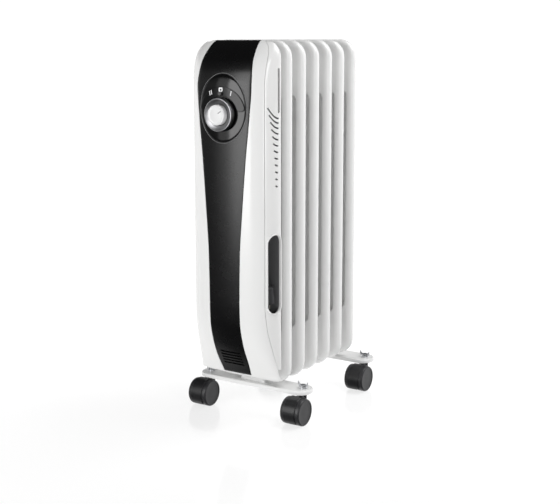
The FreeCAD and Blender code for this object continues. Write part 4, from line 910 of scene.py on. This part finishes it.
def knob():
    """The knob's cap, dished a little, with a groove for its pointer and the pointer's fill."""
    outer = high("thermostat_knob").x
    front, rear = low("thermostat_knob").y, high("thermostat_knob").y
    profile = [(0.0, rear), (outer - 0.3, rear), (outer - 0.3, front + 2.4), (outer - 0.45, front + 1.3),
               (outer - 0.9, front + 0.55), (outer - 1.7, front + 0.2), (outer - 3.0, front + 0.25),
               (outer - 3.8, front + 0.5), (outer - 6.0, front + 0.35), (5.0, front + 0.1),
               (0.0, front + 0.05)]
    cap = turned([(max(r, 0.02), y) for r, y in profile], Vector((0, 0, DIAL_Z)), "Y", ROUND_STEPS)
    turn = math.radians(KNOB_POINTS_AT)
    ahead, aside = Vector((math.sin(turn), 0, math.cos(turn))), Vector((math.cos(turn), 0, -math.sin(turn)))
    corners = [(-0.75, 4.5), (0.75, 4.5), (0.95, outer - 4.4), (-0.95, outer - 4.4)]
    outline = softened([Vector((a, 0, b)) for a, b in corners], [0.7] * 4)
    groove = [[Vector((0, y, DIAL_Z)) + aside * p[0] + ahead * p[2] for p in outline]
              for y in (front - 1, front + 0.8)]
    piece("thermostat_cap", cap, KNOB_SILVER, body="thermostat_dial", cutter=cutter_of([loft(groove)]),
          stands_for=("thermostat_knob",), smooth=26)
    fill = [[Vector((0, y, DIAL_Z)) + aside * p[0] * 0.94 + ahead * p[2] for p in outline]
            for y in (front + 0.55, front + 0.9)]
    piece("knob_pointer", loft(fill), PRINT_GREY, body="thermostat_dial")


dial_panel()
scale_ring()
marks()
selector()
knob()


# ------------ plug in the cord slot

PIN_HALF = 9.5
PIN_RADIUS = 2.4
PIN_TIP = 1.5
AXIS_GAP = 0.05
GRIP_TOP = 28.2
RIB_PITCH = 3.1
RIB_TAPER = 0.33
RIB_DEEP = 1.1


def plug():
    """The plug's moulding, with its ribbed neck, and its two pins."""
    low_z, neck_top = low("plug_body").z, high("plug_body").z
    profile = [(AXIS_GAP, low_z), (12.6, low_z), (13.7, low_z + 0.8), (14.0, low_z + 3), (13.8, low_z + 12),
               (12.4, low_z + 18), (12.0, low_z + 21), (12.5, low_z + 24), (12.0, low_z + 26.5),
               (9.5, low_z + GRIP_TOP)]
    z, radius = low_z + GRIP_TOP, 6.6
    while z < neck_top - 3:
        neck = radius - RIB_DEEP
        profile += [(radius, z), (radius, z + 1.8), (neck, z + 2.0), (neck, z + 2.9)]
        z, radius = z + RIB_PITCH, radius - RIB_TAPER
    profile += [(4.3, neck_top - 1.6), (3.9, neck_top), (AXIS_GAP, neck_top)]
    form = turned(profile, Vector((PLUG_X, PLUG_Y, 0)), "Z", 40)
    moulding = piece("plug_moulding", form, PLUG_RUBBER, stands_for=("plug_body",),
                     smooth=40)
    pins = []
    bottom = low("plug_pins").z
    for y in (PLUG_Y - PIN_HALF, PLUG_Y + PIN_HALF):
        shape = [(AXIS_GAP, bottom), (PIN_TIP, bottom), (PIN_RADIUS, bottom + 1.2), (PIN_RADIUS, low_z + 2),
                 (AXIS_GAP, low_z + 2)]
        pins.append(turned(shape, Vector((PLUG_X, y, 0)), "Z", 20))
    contacts = piece("plug_contacts", merge(pins), NICKEL, stands_for=("plug_pins",))
    return [moulding, contacts]


plug_pieces = plug()
frame["nodes"]["cord_compartment"].data.materials[0] = GREY_PLASTIC


# ------------ brackets

PLATE_TALL = 6.6
PLATE_WALL = 1.6
# (how far the rim is drawn in, how far below the plate's top)
PLATE_RIM = ((0, PLATE_TALL), (0, 2.2), (0.25, 1.2), (0.8, 0.45), (1.7, 0.05), (2.6, 0.0))
SADDLE_HALF_LONG = 24.0
SADDLE_HALF_WIDE = 11.0


def bracket(end):
    """A pressed plate with rounded ends, a turned-down rim and a low saddle under the fin."""
    node = f"{end}_bracket"
    long, wide = high(node).x, (high(node).y - low(node).y) / 2
    middle_y, foot = middle(node).y, low(node).z
    crown = foot + PLATE_TALL

    def outline(inset, z):
        ring = tablet(long, wide, wide * 0.93, 12)
        return [Vector((p[0] * (1 - inset / long), middle_y + p[2] * (1 - inset / wide), z)) for p in ring]

    form = loft([outline(inset, crown - drop) for inset, drop in PLATE_RIM], ends=(False, True))
    piece(f"{end}_bracket_plate", form, ENAMEL, wall=PLATE_WALL, stands_for=(node,))
    ring = tablet(SADDLE_HALF_LONG, SADDLE_HALF_WIDE, 3.0)
    saddle = [[Vector((p[0], middle_y + p[2], z)) for p in ring] for z in (crown - 0.4, high(node).z)]
    piece(f"{end}_bracket_saddle", loft(saddle), ENAMEL, round_off=0.5)


bracket("front")
bracket("rear")


# ------------ caster wheels

HOOD_OVER = 1.6
HOOD_HALF = 10.5
HOOD_FROM = 42.0
HOOD_SWEEP = 183.0
HOOD_THICK = 1.1
WEB_HALF = 4.4
WEB_FROM = 20
WEB_SWEEP = 215
AXLE_CLEAR = 2.1
STEM_TRAIL = 22.0
# (radius, height) round the stem
BOSS = ((3.9, 37.0), (6.2, 37.0), (6.2, 52.4), (5.8, 53.0), (3.9, 53.0))
ARM_Z = (31, 45)
WHEEL_BORE = 2.2
# (how far inside the tread's radius, how far out from the wheel's inner side)
TREAD = ((2.6, 0.0), (0.9, 0.25), (0.2, 0.9), (0.0, 2.0), (0.0, 10.2), (0.25, 11.5), (0.9, 12.4), (1.9, 12.9),
         (2.5, 13.0), (3.0, 12.75), (3.4, 12.25), (4.5, 12.1))


def wheels():
    """Eight wheels, each with a rounded tread and a shallow rim on its outer side."""
    for end in ("front", "rear"):
        for side in ("left", "right"):
            for hand, sign in (("left", -1), ("right", 1)):
                node = f"caster_{end}_{side}_wheel_{hand}"
                inner = low(node).x if sign > 0 else high(node).x
                radius = (high(node).z - low(node).z) / 2
                hub = middle(node)
                shape = [(WHEEL_BORE, 0.0)] + [(radius - inset, along) for inset, along in TREAD]
                shape += [(8.0, 12.25), (0.02, 12.3)]
                profile = [(r, inner + sign * along) for r, along in shape]
                form = turned(profile, Vector((0, hub.y, hub.z)), "X", 72)
                name = f"wheel_{end}_{side}_{hand}"
                piece(name, form, WHEEL_BLACK, body=name, stands_for=(node,),
                      smooth=28)


def hoods():
    """Each caster's frame: a hood over both wheels, the boss under the bracket and the web between."""
    for end in ("front", "rear"):
        for side in ("left", "right"):
            frame_node, wheel_node = f"caster_{end}_{side}_frame", f"caster_{end}_{side}_wheel_right"
            x, hub = middle(frame_node).x, middle(wheel_node)
            hub.x = 0
            outer = high(wheel_node).z / 2 + HOOD_OVER
            left, right = x - HOOD_HALF, x + HOOD_HALF
            hood = [(outer - HOOD_THICK, left), (outer - 0.5, left), (outer, left + 0.5),
                    (outer, right - 0.5), (outer - 0.5, right), (outer - HOOD_THICK, right)]
            left, right = x - WEB_HALF, x + WEB_HALF
            web = [(AXLE_CLEAR, left), (outer - 1.0, left), (outer - 1.0, right), (AXLE_CLEAR, right)]
            stem = Vector((x, hub.y + STEM_TRAIL, 0))
            parts = [turned(hood, hub, "X", 40, HOOD_FROM, HOOD_SWEEP),
                     turned(web, hub, "X", 40, WEB_FROM, WEB_SWEEP),
                     turned(BOSS, stem, "Z", 32),
                     box_form((left, right), (hub.y + 4, stem.y + 3), ARM_Z)]
            piece(f"caster_hood_{end}_{side}", merge(parts), CASTER_BLACK, body=f"caster_{end}_{side}",
                  stands_for=(frame_node,), smooth=30)


wheels()
hoods()


# ------------ fins

FIN_HALF = high("fin_1").x
FIN_LOW = low("fin_1").z
FIN_HIGH = high("fin_1").z
FIN_HALF_THICK = (high("fin_1").y - low("fin_1").y) / 2
FIN_CORNER = 29.0
FIN_ROUND = 8.5
FIN_WEB = 0.8
CHANNEL_DROP = 2.5
RECESS_X = (23.0, 64.0)
RECESS_Z = (148.0, 533.0)
RECESS_CORNER = 10.0
RECESS_SLOPE = 5.0
GRID_INSET = 9.5
RIM_INSETS = (0, 0.3, 1.0, 2.2, 4.0, 6.2, FIN_ROUND, GRID_INSET)
TURN_STEPS = 8


def ease(share):
    """Runs from 0 to 1 with a soft start and end."""
    share = min(max(share, 0.0), 1.0)
    return share * share * (3 - 2 * share)


def fin_height(x, z):
    """Half the fin's thickness at a place away from its rim."""
    x = abs(x)
    mid_x, half_x = sum(RECESS_X) / 2, (RECESS_X[1] - RECESS_X[0]) / 2
    mid_z, half_z = sum(RECESS_Z) / 2, (RECESS_Z[1] - RECESS_Z[0]) / 2
    out_x, out_z = abs(x - mid_x) - half_x + RECESS_CORNER, abs(z - mid_z) - half_z + RECESS_CORNER
    outside = math.hypot(max(out_x, 0), max(out_z, 0)) + min(max(out_x, out_z), 0) - RECESS_CORNER
    inside = ease(-outside / RECESS_SLOPE)
    channel = ease((RECESS_X[0] + 3 - x) / 9) * ease((half_z + 10 - abs(z - mid_z)) / 20)
    crest = FIN_HALF_THICK - CHANNEL_DROP * channel
    return crest + (FIN_WEB - crest) * inside


def fin_stations():
    """Where the grid's lines lie: across to the corner, shares of the rest, and heights."""
    columns = [0, 6, 12, 17, 20, 22, 23.5, 25, 26.5, 28, 33, 40, 46]
    outer = [0.25, 0.5, 0.66, 0.74, 0.81, 0.88, 0.95, 1.0]
    rows = [FIN_LOW + FIN_CORNER, 110, 130, 140]
    rows += spread(144, 162, 10) + spread(180, 500, 14) + spread(519, 537, 10)
    rows += [542, 552, 570, FIN_HIGH - FIN_CORNER]
    return columns, outer, rows


def rim_lift(inset):
    """Half the fin's thickness that far inside its rolled rim."""
    if inset >= FIN_ROUND:
        return FIN_HALF_THICK
    return FIN_HALF_THICK - FIN_ROUND + math.sqrt(FIN_ROUND ** 2 - (FIN_ROUND - inset) ** 2)


def fin_mesh():
    """One face of the fin as a grid inside rolled rim rings, mirrored to make the other."""
    columns, outer, rows = fin_stations()
    reach = FIN_HALF - FIN_CORNER
    turn = [math.pi / 2 * k / TURN_STEPS for k in range(TURN_STEPS + 1)]

    def rim(inset):
        radius = FIN_CORNER - inset
        side = [(FIN_HALF - inset, z) for z in rows]
        top = [(reach + radius * math.cos(a), rows[-1] + radius * math.sin(a)) for a in turn[1:]]
        across = [(x, rows[-1] + radius) for x in reversed(columns[:-1])]
        upper_right = side + top + across
        upper_left = [(-x, z) for x, z in reversed(upper_right[:-1])]
        low_turn = [(-reach - radius * math.sin(a), rows[0] - radius * math.cos(a))
                    for a in reversed(turn[:-1])]
        low_across = [(-x, rows[0] - radius) for x in reversed(columns[:-1])]
        low_left = low_turn + low_across
        low_right = [(-x, z) for x, z in reversed(low_left[:-1])]
        return upper_right + upper_left + low_left + low_right

    rings = [[Vector((x, -rim_lift(inset), z)) for x, z in rim(inset)] for inset in reversed(RIM_INSETS)]
    rings += [[Vector((x, rim_lift(inset), z)) for x, z in rim(inset)] for inset in RIM_INSETS]
    parts = [loft(rings, ends=(False, False))]
    radius = FIN_CORNER - GRID_INSET
    levels = [(rows[0] - radius * math.cos(a), reach + radius * math.sin(a)) for a in turn[:-1]]
    levels += [(z, FIN_HALF - GRID_INSET) for z in rows]
    levels += [(rows[-1] + radius * math.sin(a), reach + radius * math.cos(a)) for a in turn[1:]]
    sheet_rows = []
    for z, wide in levels:
        right = columns[:-1] + [reach] + [reach + (wide - reach) * share for share in outer]
        line = [-x for x in reversed(right[1:])] + right
        sheet_rows.append([(x, z) for x in line])
    for sign in (-1, 1):
        parts.append(grid([[Vector((x, sign * fin_height(x, z), z)) for x, z in row] for row in sheet_rows]))
    return merge(parts)


def fins():
    points, faces = fin_mesh()
    for i in range(1, 7):
        place = Vector((0, middle(f"fin_{i}").y, 0))
        piece(f"fin_panel_{i}", ([p + place for p in points], faces), ENAMEL,
              stands_for=(f"fin_{i}",), smooth=40)


fins()


# ------------ floor and light

# places and sizes from here on are metres
FLOOR_REACH = 12
FLOOR_GREY = 0.30
FLOOR_ROUGH = 0.12
FLOOR_GLOW = 0.74


def floor():
    """A plain pale floor, left out of reflections."""
    made, _, shader = shader_tree("floor", (FLOOR_GREY,) * 3, FLOOR_ROUGH)
    shader.inputs["Emission Color"].default_value = (1, 1, 1, 1)
    shader.inputs["Emission Strength"].default_value = FLOOR_GLOW
    mesh = bpy.data.meshes.new("floor")
    r = FLOOR_REACH
    mesh.from_pydata([(-r, -r, 0), (r, -r, 0), (r, r, 0), (-r, r, 0)], [], [(0, 1, 2, 3)])
    mesh.materials.append(made)
    item = bpy.data.objects.new("floor", mesh)
    bpy.context.scene.collection.objects.link(item)
    item.visible_glossy = False


def softbox(name, place, target, wide, tall, power):
    """A soft rectangular light that the camera doesn't see."""
    data = bpy.data.lights.new(name, "AREA")
    data.shape = "RECTANGLE"
    data.size = wide
    data.size_y = tall
    data.energy = power
    item = bpy.data.objects.new(name, data)
    bpy.context.scene.collection.objects.link(item)
    item.location = place
    item.rotation_euler = (Vector(target) - Vector(place)).to_track_quat("-Z", "Y").to_euler()
    item.visible_camera = False


# name, place, target, width, height, watts
SOFTBOXES = (
    ("front_box", (-0.40, -1.75, 0.66), (0, 0, 0.4), 0.8, 1.3, 14),
    ("front_fill", (-0.55, -1.9, 0.66), (0, 0, 0.4), 1.6, 1.3, 6),
    ("top_box", (0.9, 0.7, 1.9), (0.1, 0.0, 0.4), 1.4, 1.4, 34),
    ("rim_box", (2.1, -1.15, 0.85), (0, 0, 0.35), 0.3, 1.6, 13),
)
# (height of the direction, brightness) of the studio's front half
FRONT_LEVELS = ((-1.0, 0.05), (-0.28, 0.02), (-0.10, 0.12), (0.04, 0.26), (0.25, 0.22), (0.42, 0.02),
                (1.0, 0.04))
BACKDROP_TOWARDS = (-0.54, 0.84, 0.0)
BACKDROP_LEVEL = 1.06
BACKDROP_SIDES = (0.05, 0.35)
BACKDROP_HEIGHTS = (0.42, 0.25)


def share_between(tree, value, bounds):
    """How far a value has come from the first bound to the second, 0 to 1."""
    span = tree.nodes.new("ShaderNodeMapRange")
    span.inputs["From Min"].default_value, span.inputs["From Max"].default_value = bounds
    tree.links.new(value, span.inputs["Value"])
    return span.outputs["Result"]


def studio():
    """A white backdrop behind the heater and a dimmer room in front, which the gloss black reflects."""
    world = bpy.data.worlds.new("studio")
    world.use_nodes = True
    tree = world.node_tree
    back = tree.nodes["Background"]
    where = tree.nodes.new("ShaderNodeTexCoord")
    apart = tree.nodes.new("ShaderNodeSeparateXYZ")
    tree.links.new(where.outputs["Generated"], apart.inputs["Vector"])
    ramp = tree.nodes.new("ShaderNodeValToRGB")
    tree.links.new(share_between(tree, apart.outputs["Z"], (-1.0, 1.0)), ramp.inputs["Fac"])
    while len(ramp.color_ramp.elements) < len(FRONT_LEVELS):
        ramp.color_ramp.elements.new(0.5)
    for stop, (height, level) in zip(ramp.color_ramp.elements, FRONT_LEVELS):
        stop.position = (height + 1) / 2
        stop.color = (level, level, level, 1)
    facing = tree.nodes.new("ShaderNodeVectorMath")
    facing.operation = "DOT_PRODUCT"
    facing.inputs[1].default_value = BACKDROP_TOWARDS
    tree.links.new(where.outputs["Generated"], facing.inputs[0])
    both = tree.nodes.new("ShaderNodeMath")
    both.operation = "MULTIPLY"
    tree.links.new(share_between(tree, facing.outputs["Value"], BACKDROP_SIDES), both.inputs[0])
    tree.links.new(share_between(tree, apart.outputs["Z"], BACKDROP_HEIGHTS), both.inputs[1])
    mix = tree.nodes.new("ShaderNodeMix")
    mix.data_type = "RGBA"
    mix.inputs["B"].default_value = (*[BACKDROP_LEVEL] * 3, 1)
    tree.links.new(both.outputs["Value"], mix.inputs["Factor"])
    tree.links.new(ramp.outputs["Color"], mix.inputs["A"])
    tree.links.new(mix.outputs["Result"], back.inputs["Color"])
    bpy.context.scene.world = world
    for box in SOFTBOXES:
        softbox(*box)
    bpy.context.scene.view_settings.view_transform = "Standard"


floor()
studio()
